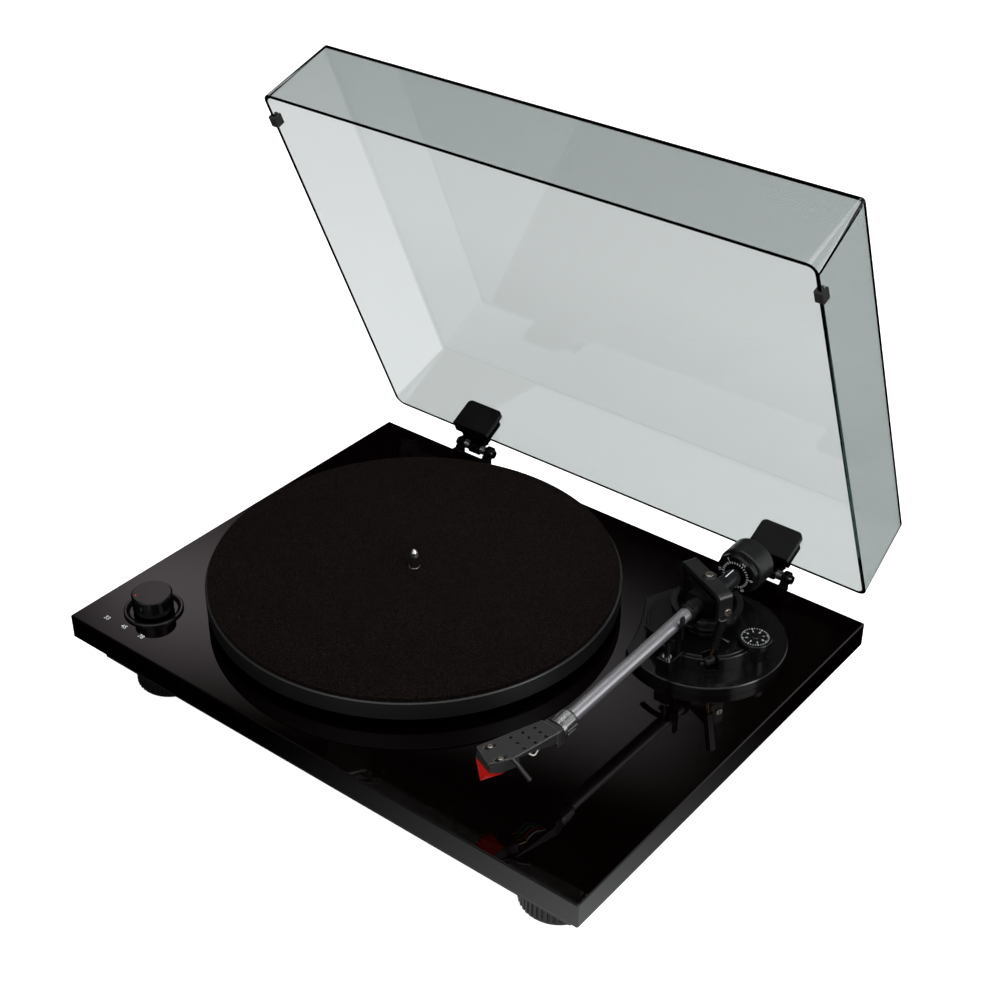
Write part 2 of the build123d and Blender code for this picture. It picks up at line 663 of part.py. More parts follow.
def make_yoke_cup():
    """Bowl that carries the yoke, with the vertical shaft under it."""
    low = COLLAR_TOP + 0.5
    outline = [
        ThreePointArc((13, 0, low), (CUP_R - 3.2, 0, low + 5.2), (CUP_R, 0, CUP_RIM)),
        Line((CUP_R, 0, CUP_RIM), (CUP_R - 4.3, 0, CUP_RIM)),
        Line((CUP_R - 4.3, 0, CUP_RIM), (CUP_R - 5.5, 0, CUP_FLOOR + 2)),
        Line((CUP_R - 5.5, 0, CUP_FLOOR + 2), (CUP_R - 8.0, 0, CUP_FLOOR)),
        Line((CUP_R - 8.0, 0, CUP_FLOOR), (0, 0, CUP_FLOOR)),
        Line((0, 0, CUP_FLOOR), (0, 0, low)),
        Line((0, 0, low), (13, 0, low)),
    ]
    cup = revolve(make_face(Wire(outline)), Axis.Z) + disc(3, TOP_Z - 1, low + 1)
    cup -= block(-8.6, 8.6, 8, 40, CUP_FLOOR - 1, CUP_RIM + 1)
    cup -= block(-7.4, 7.4, -40, -8, CUP_RIM - 3.5, CUP_RIM + 1)
    return Pos(PIVOT_X, PIVOT_Y, 0) * cup - bias_rod()


def slotted_head(radius, height):
    """Domed screw head standing on z = 0, with one slot."""
    head = Pos(0, 0, height / 2) * Cylinder(radius, height)
    head = fillet(head.edges().group_by(Axis.Z)[-1], height * 0.6)
    return head - Pos(0, 0, height) * Box(2 * radius + 1, 0.7, height * 0.9)


def make_yoke_screws():
    screws = [Pos(0, 0, EAR_TOP) * slotted_head(3.2, 1.0)]
    for side in (-1, 1):
        pivot = Pos(0, 0, -YOKE_T / 2) * Cylinder(1.75, YOKE_T)
        pivot += slotted_head(2.9, 1.0)
        pivot += Pos(0, 0, -YOKE_T - 4) * Cylinder(1.2, 8)
        screws.append(Pos(side * YOKE_HALF, 0, GIMBAL_Z) * Rot(0, 90 * side, 0) * pivot)
    return Compound([yoke_place(s) for s in screws])


def make_bias_pin():
    return bias_rod() + bias_place(rod(1.1, (23.6, 0, 0), (29.6, 0, 0)))


# ---------------------------------------------------------------- tonearm

def arm_place(shape):
    """Move a shape from the level arm frame to the parked arm."""
    return Pos(PIVOT_X, PIVOT_Y, GIMBAL_Z) * Rot(ARM_TILT, 0, 0) * shape


def shell_place(shape):
    """Move a shape from the headshell frame (x forward, y right) to the parked arm."""
    return arm_place(Pos(0, SHELL_Y, TUBE_Z) * Rot(0, 0, -90 - OFFSET_ANGLE) * shape)


def along_arm(radius, y0, y1, z):
    """Cylinder along the arm between two distances from the pivot."""
    return Pos(0, (y0 + y1) / 2, z) * Rot(90, 0, 0) * Cylinder(radius, y1 - y0)


COLLAR_Y0 = -27.0
BLOCK_Y0 = -13.0
BLOCK_Y1 = 10.0
COLLAR_TUBE_R = 5.6


def make_gimbal_block():
    body = block(-16.5, 16.5, -7, 8, -10.5, 6)
    body = Rot(0, 0, YOKE_TURN) * fillet(body.edges().filter_by(Axis.X), 2.5)
    nose = block(-8.5, 8.5, BLOCK_Y0, 2, TUBE_Z - 8, TUBE_Z + 7)
    body += fillet(nose.edges().filter_by(Axis.Y), 3)
    tail = block(-8.0, 8.0, 0, BLOCK_Y1, STUB_Z - 7, STUB_Z + 7.5)
    body += fillet(tail.edges().filter_by(Axis.Y), 3)
    body -= along_arm(TUBE_R, -20, -4, TUBE_Z)
    body -= along_arm(6.2, BLOCK_Y1, 30, STUB_Z)
    bearing = Pos(0, 0, GIMBAL_Z) * Rot(0, 90, 0) * Cylinder(1.2 + RUN_FIT, 40)
    return arm_place(body) - yoke_place(bearing)


def make_arm_tube():
    return arm_place(along_arm(TUBE_R, SHELL_Y + 11.5, -4, TUBE_Z))


def make_tube_collar():
    collar = along_arm(6.4, COLLAR_Y0, COLLAR_Y0 + 2.6, TUBE_Z)
    collar = chamfer(collar.edges().filter_by(GeomType.CIRCLE), 0.4)
    collar += along_arm(COLLAR_TUBE_R, COLLAR_Y0 + 2, BLOCK_Y0, TUBE_Z)
    return arm_place(collar - along_arm(TUBE_R, -40, 0, TUBE_Z))


def make_rear_stub():
    stub = along_arm(6.2, BLOCK_Y1, 25, STUB_Z)
    stub += along_arm(6.6, 20, 22.5, STUB_Z)
    stub += along_arm(6.2, 25, 33, STUB_Z)
    stub += along_arm(STUB_R, 33, 70, STUB_Z)
    return arm_place(chamfer(stub.edges().filter_by(GeomType.CIRCLE).sort_by(Axis.Y)[-1], 0.8))


def make_headshell_nut():
    ribs = ribbed_disc(7.3, 0.6, 12, 0.68, 3.0, NUT_L - 2.2)
    nut = ribs + Pos(0, 0, 1.5) * Cylinder(7.6, 3.0)
    nut += Pos(0, 0, NUT_L - 1.1) * Cone(6.9, 6.0, 2.2)
    nut -= Cylinder(TUBE_R + RUN_FIT, 60)
    place = Pos(0, SHELL_Y + 0.3, TUBE_Z) * Rot(-90, 0, 0)
    return arm_place(place * nut)


SHELL_LEFT_BACK = (5.3, -7.2)
SHELL_RIGHT_BACK = (1.2, 8.1)
SHELL_KINK = (38.0, 13.4)
SHELL_RIGHT_FRONT = (54.3, 9.8)
SHELL_LEFT_FRONT = (52.6, -8.0)
SHELL_T = 2.0


def shell_holes():
    """Centres of the three rows of lightening holes."""
    return [(13.2 + 8.6 * i - 0.9 * j, -3.4 + (5.2 + 0.6 * i) * j) for i in range(3) for j in range(3)]


def web(inner_b, outer_b):
    """Side wall under the plate, deep at the rear, with an arch in front of the root."""
    low = -6.0
    outline = [
        Line((1.6, 0, SHELL_TOP - SHELL_T), (1.6, 0, low)),
        Line((1.6, 0, low), (2.8, 0, low)),
        ThreePointArc((2.8, 0, low), (4.2, 0, -2.4), (8.0, 0, -1.0)),
        Line((8.0, 0, -1.0), (17.0, 0, 1.2)),
        Line((17.0, 0, 1.2), (32.8, 0, SHELL_TOP - SHELL_T)),
        Line((32.8, 0, SHELL_TOP - SHELL_T), (1.6, 0, SHELL_TOP - SHELL_T)),
    ]
    wall = extrude(make_face(Wire(outline)), 60, both=True)
    lane = Polyline(inner_b[0], inner_b[1], outer_b[1], outer_b[0], close=True)
    return wall & Pos(0, 0, -10) * extrude(make_face(lane), 30)


def shell_plan():
    """Outline of the headshell's plate."""
    front = [SHELL_KINK, SHELL_RIGHT_FRONT, SHELL_LEFT_FRONT]
    return make_face(Polyline(SHELL_LEFT_BACK, SHELL_RIGHT_BACK, *front, close=True))


def make_headshell():
    low = SHELL_TOP - SHELL_T
    plate = Pos(0, 0, low) * extrude(shell_plan(), SHELL_T)
    plate = fillet(plate.edges().filter_by(Axis.Z).sort_by(Axis.X)[-2:], 1.5)
    plate = chamfer(plate.edges().group_by(Axis.Z)[-1], 0.4)
    plate += web([(1.3, 6.6), (38.0, 11.7)], [SHELL_RIGHT_BACK, SHELL_KINK])
    plate += web([(4.8, -5.6), (38.0, -6.2)], [SHELL_LEFT_BACK, (38.0, -7.7)])
    for a, b in shell_holes():
        plate -= disc(1.35, low - 1, SHELL_TOP + 1, a, b)
    for side in (-1, 1):
        b = CARTRIDGE_B + side * SCREW_PITCH / 2
        slot = Pos(SCREW_A, b, low - 1) * extrude(SlotOverall(8.4, 3.0), SHELL_T + 2)
        plate -= slot
        plate -= Pos(SCREW_A, b, SHELL_TOP - 0.8) * extrude(SlotOverall(9.6, 4.6), 2)
    root = Rot(0, 0, 90 + OFFSET_ANGLE) * block(-6.9, 6.9, -6.5, -0.2, -5.4, SHELL_TOP - 0.5)
    plug = Rot(0, 0, 90 + OFFSET_ANGLE) * along_arm(4.0, -3, 11.2, 0)
    return shell_place(plate + root + plug)


def make_finger_lift():
    """Bent bar beside the headshell, rounded at the tip."""
    start = (38.6, 12.9, SHELL_TOP - 1.6)
    knee = (37.6, 18.5, 3.2)
    tip = (35.6, 27.0, -1.6)
    lift = rod(1.5, start, knee) + Pos(*knee) * Sphere(1.5)
    lift += rod(1.5, knee, tip) + Pos(*tip) * Sphere(1.5)
    return shell_place(lift - extrude(shell_plan(), 20))


def make_cartridge_body():
    top = SHELL_TOP - SHELL_T
    outline = [(33.2, top), (53.6, top), (54.6, 0.2), (44.0, -5.2), (37.0, -5.2), (33.2, -3.2)]
    face = make_face(Polyline(*[(a, 0, z) for a, z in outline], close=True))
    body = Pos(0, CARTRIDGE_B, 0) * extrude(face, 8.3, both=True)
    low = body.edges().filter_by(Axis.Y).sort_by(Axis.Z)[0:1]
    body = chamfer(body.edges().group_by(Axis.Z)[0].filter_by(Axis.X) + low, 1.2)
    for i in (-1.5, -0.5, 0.5, 1.5):
        y = CARTRIDGE_B + i * 3.2
        body += rod(0.6, (29.8, y, 0.8), (34, y, 0.8))
    for side in (-1, 1):
        body -= disc(1.25, top - 5, top + 1, SCREW_A, CARTRIDGE_B + side * SCREW_PITCH / 2)
    return shell_place(body)


def flat_face(points):
    """Planar face through points in order."""
    return make_face(Polyline(*points, close=True))


def make_stylus_guard():
    """Faceted holder under the cartridge, drawn down to one low point at the front."""
    half = 7.9
    b = CARTRIDGE_B
    front_left = (54.6, b - half, 0.2)
    front_right = (54.6, b + half, 0.2)
    back_right = (44.0, b + half, -5.2)
    back_left = (44.0, b - half, -5.2)
    tip = (56.2, b, -11.9)
    heel = (45.4, b, -8.2)
    faces = [
        flat_face([front_left, front_right, back_right, back_left]),
        flat_face([front_left, front_right, tip]),
        flat_face([front_right, back_right, tip]),
        flat_face([back_right, heel, tip]),
        flat_face([front_left, back_left, tip]),
        flat_face([back_left, heel, tip]),
        flat_face([back_left, back_right, heel]),
    ]
    return shell_place(Solid(Shell(faces)))


def make_cartridge_screws():
    screws = []
    for side in (-1, 1):
        seat = SHELL_TOP - 0.8
        screw = Pos(0, 0, seat) * slotted_head(2.0, 1.3)
        screw += disc(1.25, SHELL_TOP - SHELL_T - 4.5, seat)
        screws.append(Pos(SCREW_A, CARTRIDGE_B + side * SCREW_PITCH / 2, 0) * screw)
    return Compound([shell_place(s) for s in screws])


def make_headshell_wires():
    """Four short leads from the headshell's root to the cartridge pins."""
    wires = []
    for i in (-1.5, -0.5, 0.5, 1.5):
        pin = CARTRIDGE_B + i * 3.2
        root = 1.0 + i * 2.4
        points = [(9.0, root, 1.0), (14.0, root, 0.6), (19.0, pin, -2.6), (25.0, pin, 0.8), (29.8, pin, 0.8)]
        path = FilletPolyline(*points, radius=2.4)
        section = Plane(origin=points[0], z_dir=path % 0) * Circle(0.5)
        wires.append(shell_place(sweep(section, path=path)))
    return Compound(wires)


# ---------------------------------------------------------------- counterweight

def make_weight_sleeve():
    sleeve = along_arm(SLEEVE_R, 36.6, WEIGHT_Y0 + WEIGHT_L - 0.6, STUB_Z)
    return arm_place(sleeve - along_arm(STUB_R + RUN_FIT, 20, 80, STUB_Z))


def make_counterweight():
    end = WEIGHT_Y0 + WEIGHT_L
    weight = along_arm(WEIGHT_R, WEIGHT_Y0, end, STUB_Z)
    weight = chamfer(weight.edges().filter_by(GeomType.CIRCLE), 1.0)
    weight -= along_arm(SLEEVE_R + RUN_FIT, 20, end + 5, STUB_Z)
    return arm_place(weight)


def make_scale_ring():
    ring = along_arm(SCALE_R, WEIGHT_Y0 - 0.3 - SCALE_L, WEIGHT_Y0 - 0.3, STUB_Z)
    ring = chamfer(ring.edges().filter_by(GeomType.CIRCLE).sort_by(Axis.Y)[0], 1.2)
    return arm_place(ring - along_arm(SLEEVE_R + RUN_FIT, 20, 80, STUB_Z))


# ---------------------------------------------------------------- dust cover and hinges

TAPER_ANGLE = math.degrees(math.atan(COVER_TAPER / COVER_H))


def cover_place(shape):
    """Open a shape from the closed cover's frame."""
    opened = Rot(-COVER_OPEN, 0, 0) * Pos(0, -RIM_BACK, RIM_RISE) * shape
    return Pos(0, HINGE_Y, HINGE_Z) * opened


def cover_form(shrink, height, low=0.0):
    """Tapered box with rounded corners, open frame: the rim is at z = 0."""
    width = COVER_W - 2 * shrink
    depth = COVER_D - 2 * shrink
    rim = RectangleRounded(width, depth, COVER_CORNER - shrink)
    form = extrude(rim, height, taper=TAPER_ANGLE)
    return Pos(0, -COVER_D / 2, low) * form


def make_dust_cover():
    outer = cover_form(0, COVER_H)
    outer = fillet(outer.edges().group_by(Axis.Z)[-1], 2.0)
    inner = cover_form(COVER_T, COVER_H - COVER_T)
    inner += Pos(0, -COVER_D / 2, -0.5) * Box(COVER_W - 20, COVER_D - 20, 2)
    return cover_place(outer - inner)


def lean(shape):
    """Tip a shape so that it lies along the cover's sloping rear wall."""
    return Rot(TAPER_ANGLE, 0, 0) * shape


def make_cover_clips():
    """Clips that grip the rear wall, each with a neck and a knuckle on the hinge pin."""
    gap = 0.1
    width = PADDLE_W / 2
    inside = block(-width, width, -COVER_T - 4.2, -COVER_T - gap, 0.1, PADDLE_H)
    inside = fillet(inside.edges().filter_by(Axis.Y).group_by(Axis.Z)[-1], 4.0)
    outside = block(-width, width, gap, 3.2, 0.1, PADDLE_H - 5)
    outside = fillet(outside.edges().filter_by(Axis.Y).group_by(Axis.Z)[-1], 4.0)
    clip = lean(inside + outside)
    clip += block(-width, width, -COVER_T - 4.2, 3.2, -1.5, -0.1)
    clip += block(-width, width, -COVER_T - 4.2, -COVER_T - 0.4, -1.5, 1.0)
    clip += block(-width, width, 0.4, 3.2, -1.5, 1.0)
    clip += block(-11, 11, 2.0, RIM_BACK - 3.5, -1.5, 3.0)
    clip += block(-4.5, 4.5, 4.0, RIM_BACK, -1.5, 3.0)
    clip += Pos(0, RIM_BACK, -RIM_RISE) * Rot(0, 90, 0) * Cylinder(5.0, 9)
    clip -= Pos(0, RIM_BACK, -RIM_RISE) * Rot(0, 90, 0) * Cylinder(HINGE_PIN_R + RUN_FIT, 40)
    for side in (-1, 1):
        clip -= Pos(side * 9, RIM_BACK, -RIM_RISE) * Rot(0, 90, 0) * Cylinder(6.0, 9)
    return Compound([cover_place(Pos(side * HINGE_X, 0, 0) * clip) for side in (-1, 1)])


BRACKET_Y0 = PLINTH_Y + PLINTH_D / 2
BRACKET_Y1 = BRACKET_Y0 + 3.0
BRACKET_SCREW_Z = DECK - 13.0


def make_hinge_brackets():
    plate = block(-16, 16, BRACKET_Y0, BRACKET_Y1, DECK - TOP_H, DECK - 1.0)
    for dx in (-9, 9):
        plate -= Pos(dx, BRACKET_Y0, BRACKET_SCREW_Z) * Rot(90, 0, 0) * Cylinder(SCREW_R, 20)
    for side in (-1, 1):
        x0 = side * 14 - 2
        ear = block(x0, x0 + 4, BRACKET_Y0, HINGE_Y, DECK - 9, HINGE_Z)
        ear += Pos(x0 + 2, HINGE_Y, HINGE_Z) * Rot(0, 90, 0) * Cylinder(5.4, 4)
        ear -= Pos(x0 + 2, HINGE_Y, HINGE_Z) * Rot(0, 90, 0) * Cylinder(HINGE_PIN_R, 8)
        ear -= block(x0 - 1, x0 + 5, BRACKET_Y0 - 6, BRACKET_Y0, DECK - 20, DECK + 10)
        ear -= block(x0 - 1, x0 + 5, BRACKET_Y0 - 6, BRACKET_Y1 + 1.5, DECK - 1, DECK + 10)
        plate += ear
    return Compound([Pos(side * HINGE_X, 0, 0) * plate for side in (-1, 1)])


def make_hinge_pins():
    pins = []
    for side in (-1, 1):
        pin = Cylinder(HINGE_PIN_R, 35)
        for end in (-1, 1):
            pin += Pos(0, 0, end * 17.6) * Cylinder(3.4, 2.4)
        pins.append(Pos(side * HINGE_X, HINGE_Y, HINGE_Z) * Rot(0, 90, 0) * pin)
    return Compound(pins)


def make_hinge_springs():
    """Closely wound torsion springs round each hinge pin, either side of the knuckle."""
    springs = []
    turns = 4.5
    wire = 0.55
    radius = HINGE_PIN_R + 1.1
    for x in (-HINGE_X, HINGE_X):
        for side in (-1, 1):
            coil = Helix(pitch=1.25, height=1.25 * turns, radius=radius)
            section = Plane(origin=coil @ 0, z_dir=coil % 0) * Circle(wire)
            spring = sweep(section, path=coil, is_frenet=True)
            place = Pos(x + side * 8.2 - 1.25 * turns / 2, HINGE_Y, HINGE_Z) * Rot(0, 90, 0)
            springs.append(place * spring)
    return Compound(springs)


def make_cover_bumpers():
    """Soft clips on the side rims near the front corners."""
    bumpers = []
    for side in (-1, 1):
        x = side * COVER_W / 2
        clip = block(min(x + side * 1.8, x - side * 5.0), max(x + side * 1.8, x - side * 5.0), -4, 4, -2.2, 5)
        clip = fillet(clip.edges().filter_by(Axis.Y), 1.0)
        bumpers.append(clip)
    shell = cover_form(0, COVER_H) - cover_form(COVER_T, COVER_H + 1)
    placed = [Pos(0, 25 - COVER_D, 0) * b - shell for b in bumpers]
    return Compound([cover_place(b) for b in placed])


NODES = {
    "top_plinth": make_top_plinth,
    "lower_plinth": make_lower_plinth,
    "base_cover": make_base_cover,
    "frame_screws": make_frame_screws,
    "feet": make_feet,
    "foot_pads": make_foot_pads,
    "foot_bolts": make_foot_bolts,
    "terminal_panel": make_terminal_panel,
    "rca_jacks": make_rca_jacks,
    "ground_post": make_ground_post,
    "dc_inlet": make_dc_inlet,
    "control_board": make_control_board,
    "bearing_housing": make_bearing_housing,
    "bearing_bush": make_bearing_bush,
    "thrust_ball": make_thrust_ball,
    "motor_body": make_motor_body,
    "motor_plate": make_motor_plate,
    "motor_shaft": make_motor_shaft,
    "motor_pulley": make_motor_pulley,
    "drive_belt": make_drive_belt,
    "sub_platter": make_sub_platter,
    "spindle": make_spindle,
    "platter": make_platter,
    "slip_mat": make_slip_mat,
    "speed_switch": make_speed_switch,
    "knob_ring": make_knob_ring,
    "speed_knob": make_speed_knob,
    "arm_base": make_arm_base,
    "arm_housing": make_arm_housing,
    "arm_column": make_arm_column,
    "arm_rest": make_arm_rest,
    "lift_cylinder": make_lift_cylinder,
    "lift_bar": make_lift_bar,
    "cue_lever": make_cue_lever,
    "cue_handle": make_cue_handle,
    "antiskate_dial": make_antiskate_dial,
    "yoke": make_yoke,
    "yoke_cup": make_yoke_cup,
    "yoke_screws": make_yoke_screws,
    "bias_pin": make_bias_pin,
    "gimbal_block": make_gimbal_block,
    "arm_tube": make_arm_tube,
    "tube_collar": make_tube_collar,
    "rear_stub": make_rear_stub,
    "headshell_nut": make_headshell_nut,
    "headshell": make_headshell,
    "finger_lift": make_finger_lift,
    "cartridge_body": make_cartridge_body,
    "stylus_guard": make_stylus_guard,
    "cartridge_screws": make_cartridge_screws,
    "headshell_wires": make_headshell_wires,
    "weight_sleeve": make_weight_sleeve,
    "counterweight": make_counterweight,
    "scale_ring": make_scale_ring,
    "dust_cover": make_dust_cover,
    "cover_clips": make_cover_clips,
    "cover_bumpers": make_cover_bumpers,
    "hinge_brackets": make_hinge_brackets,
    "hinge_pins": make_hinge_pins,
    "hinge_springs": make_hinge_springs,
}

for node, make in NODES.items():
    save(make(), node)
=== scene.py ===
"""Looks, light and camera for a belt-drive record player. Metres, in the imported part's own frame."""
import math

import bmesh
import bpy
from mathutils import Matrix, Vector


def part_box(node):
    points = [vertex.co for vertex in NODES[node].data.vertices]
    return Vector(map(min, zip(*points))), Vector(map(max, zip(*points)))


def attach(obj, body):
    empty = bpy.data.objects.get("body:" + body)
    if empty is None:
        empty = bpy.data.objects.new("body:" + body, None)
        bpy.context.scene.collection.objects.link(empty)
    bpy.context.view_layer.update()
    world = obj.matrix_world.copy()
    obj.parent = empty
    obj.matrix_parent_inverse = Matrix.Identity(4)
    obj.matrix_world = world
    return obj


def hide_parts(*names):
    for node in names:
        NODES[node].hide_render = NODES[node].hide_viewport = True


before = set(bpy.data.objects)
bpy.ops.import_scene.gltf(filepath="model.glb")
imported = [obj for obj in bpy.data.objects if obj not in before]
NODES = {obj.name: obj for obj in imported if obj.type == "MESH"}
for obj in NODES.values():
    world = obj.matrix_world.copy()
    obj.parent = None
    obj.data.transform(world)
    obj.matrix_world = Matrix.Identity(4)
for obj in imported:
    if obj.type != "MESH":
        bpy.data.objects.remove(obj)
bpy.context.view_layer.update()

MM = 0.001

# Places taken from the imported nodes
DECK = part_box("top_plinth")[1].z
SPINDLE = (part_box("spindle")[0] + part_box("spindle")[1]) / 2
KNOB = (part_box("speed_knob")[0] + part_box("speed_knob")[1]) / 2
KNOB_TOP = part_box("speed_knob")[1].z
DIAL = (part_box("antiskate_dial")[0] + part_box("antiskate_dial")[1]) / 2
DIAL_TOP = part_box("antiskate_dial")[1].z
PIVOT = Vector((147.5, 50.0, 106.5)) * MM
ARM_TILT = math.radians(1.45)
ARM = Matrix.Translation(PIVOT) @ Matrix.Rotation(ARM_TILT, 4, "X")
TUBE_Z = -1.6  # tube's axis from the pivot, mm
STUB_Z = -6.3  # stub's axis from the pivot, mm
HINGE_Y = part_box("hinge_pins")[0].y * 0.5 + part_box("hinge_pins")[1].y * 0.5
COVER_OPEN = math.radians(67.2)
# The cover's own frame: origin at the foot of its rear wall, y forward negative, z to the main plate
COVER = (
    Matrix.Translation((0.0, HINGE_Y, DECK + 0.6 * MM))
    @ Matrix.Rotation(-COVER_OPEN, 4, "X")
    @ Matrix.Translation(Vector((0.0, -17.0, 1.9)) * MM)
)
# The headshell's own frame, x along the shell
SHELL = (
    ARM
    @ Matrix.Translation(Vector((0, -174.0, TUBE_Z)) * MM)
    @ Matrix.Rotation(math.radians(-111.0), 4, "Z")
)


# ---------------------------------------------------------------- node helpers


class Graph:
    """Short-hand for building the nodes of a new material, or of a given world."""

    def __init__(self, name, world=None):
        self.owner = world or bpy.data.materials.new(name)
        self.owner.use_nodes = True
        self.tree = self.owner.node_tree
        self.tree.nodes.clear()
        self.out = self.add("ShaderNodeOutputWorld" if world else "ShaderNodeOutputMaterial")

    def add(self, kind, **settings):
        node = self.tree.nodes.new(kind)
        for key, value in settings.items():
            setattr(node, key, value)
        return node

    def link(self, source, target):
        self.tree.links.new(source, target)

    def feed(self, node, values):
        """Set or link inputs by name or index."""
        for key, value in values.items():
            socket = node.inputs[key]
            if isinstance(value, bpy.types.NodeSocket):
                self.link(value, socket)
            else:
                socket.default_value = value
        return node

    def math(self, operation, a, b=0.0, clamp=False):
        node = self.add("ShaderNodeMath", operation=operation, use_clamp=clamp)
        return self.feed(node, {0: a, 1: b}).outputs[0]

    def vector(self, operation, a, b=(0.0, 0.0, 0.0)):
        node = self.add("ShaderNodeVectorMath", operation=operation)
        self.feed(node, {0: a, 1: b})
        return node

    def place(self):
        return self.add("ShaderNodeTexCoord").outputs["Object"]

    def split(self, vector):
        node = self.add("ShaderNodeSeparateXYZ")
        return self.feed(node, {0: vector}).outputs

    def local(self, matrix):
        """Object coordinates seen from another frame."""
        inverse = matrix.inverted()
        node = self.add("ShaderNodeMapping", vector_type="POINT")
        values = {"Location": inverse.to_translation(), "Rotation": inverse.to_euler(), "Vector": self.place()}
        return self.feed(node, values).outputs[0]

    def noise(self, scale, detail=3.0, roughness=0.55, where=None, stretch=None):
        where = where or self.place()
        if stretch:
            where = self.vector("MULTIPLY", where, stretch).outputs[0]
        node = self.add("ShaderNodeTexNoise")
        values = {"Vector": where, "Scale": scale, "Detail": detail, "Roughness": roughness}
        return self.feed(node, values).outputs["Fac"]

    def span(self, value, low, high, start=0.0, end=1.0, smooth=False):
        node = self.add("ShaderNodeMapRange", interpolation_type="SMOOTHSTEP" if smooth else "LINEAR")
        values = {"Value": value, "From Min": start, "From Max": end, "To Min": low, "To Max": high}
        return self.feed(node, values).outputs[0]

    def mix(self, factor, a, b):
        node = self.add("ShaderNodeMix", data_type="RGBA")
        values = {0: factor, 6: a, 7: b}
        return self.feed(node, values).outputs[2]

    def bump(self, height, distance, strength=1.0, normal=None):
        node = self.add("ShaderNodeBump")
        self.feed(node, {"Height": height, "Distance": distance, "Strength": strength})
        if normal is not None:
            self.link(normal, node.inputs["Normal"])
        return node.outputs[0]

    def round_edges(self, radius):
        node = self.add("ShaderNodeBevel", samples=4)
        node.inputs["Radius"].default_value = radius
        return node.outputs[0]

    def shader(self, **values):
        node = self.add("ShaderNodeBsdfPrincipled")
        names = {
            "base": "Base Color",
            "rough": "Roughness",
            "metal": "Metallic",
            "normal": "Normal",
            "ior": "IOR",
            "sheen": "Sheen Weight",
            "sheen_rough": "Sheen Roughness",
            "clear": "Transmission Weight",
            "specular": "Specular IOR Level",
            "glow": "Emission Color",
            "glow_power": "Emission Strength",
        }
        self.feed(node, {names[key]: value for key, value in values.items()})
        return node.outputs[0]

    def finish(self, shader):
        self.link(shader, self.out.inputs["Surface"])
        return self.owner


def grey(value):
    return (value, value, value, 1.0)


def moulded(name, light, dark, rough, grain=5200.0, depth=0.004, edge=0.25, specular=0.5):
    """Moulded plastic: fine spark-eroded grain, slow tone change and softened edges."""
    g = Graph(name)
    slow = g.noise(45.0, 2.0)
    fine = g.noise(grain, 4.0, 0.6)
    tone = g.math("ADD", g.math("MULTIPLY", slow, 0.55), g.math("MULTIPLY", fine, 0.45))
    base = g.mix(tone, (*dark, 1.0), (*light, 1.0))
    roughness = g.span(fine, rough - 0.04, rough + 0.05, 0.3, 0.7)
    normal = g.bump(fine, depth * MM, 0.5, g.round_edges(edge * MM))
    return g.finish(g.shader(base=base, rough=roughness, normal=normal, specular=specular))


def metal(name, light, dark, rough, grain=700.0, edge=0.25):
    """Metal with fine machining marks and slightly worn tone."""
    g = Graph(name)
    lines = g.noise(grain, 3.0, 0.6)
    slow = g.noise(60.0, 2.0)
    base = g.mix(slow, (*dark, 1.0), (*light, 1.0))
    roughness = g.span(lines, rough * 0.75, rough * 1.35, 0.3, 0.7)
    normal = g.bump(lines, 0.01 * MM, 0.5, g.round_edges(edge * MM))
    return g.finish(g.shader(base=base, rough=roughness, metal=1.0, normal=normal))


def anodised(name, tone, rough, grain=6000.0, edge=0.3):
    """Black anodised aluminium: a dark satin layer whose sheen follows fine bead-blasted texture."""
    g = Graph(name)
    fine = g.noise(grain, 4.0, 0.65)
    slow = g.noise(35.0, 2.0)
    base = g.mix(slow, grey(tone * 0.75), grey(tone * 1.3))
    roughness = g.span(fine, rough - 0.04, rough + 0.05, 0.3, 0.7)
    normal = g.bump(fine, 0.003 * MM, 0.5, g.round_edges(edge * MM))
    return g.finish(g.shader(base=base, rough=roughness, normal=normal, specular=0.6))


def rings(g, centre, scale):
    """Concentric tool marks about an upright axis, and the distance from that axis."""
    where = g.vector("SUBTRACT", g.place(), tuple(centre)).outputs[0]
    flat = g.vector("MULTIPLY", where, (1.0, 1.0, 0.0)).outputs[0]
    radius = g.vector("LENGTH", flat).outputs["Value"]
    node = g.add("ShaderNodeTexNoise", noise_dimensions="1D")
    g.feed(node, {"W": radius, "Scale": scale, "Detail": 3.0})
    return node.outputs["Fac"], radius


def lacquer():
    """Polished black lacquer over board, with the faintest unevenness."""
    g = Graph("piano_lacquer")
    wave = g.noise(9.0, 1.0, 0.4)
    base = g.mix(wave, (0.0008, 0.0002, 0.0002, 1.0), (0.0013, 0.0004, 0.0004, 1.0))
    roughness = g.span(wave, 0.015, 0.028, 0.3, 0.7)
    normal = g.bump(g.noise(55.0, 1.0, 0.4), 0.006 * MM, 0.3, g.round_edges(0.5 * MM))
    return g.finish(g.shader(base=base, rough=roughness, normal=normal, ior=1.5))


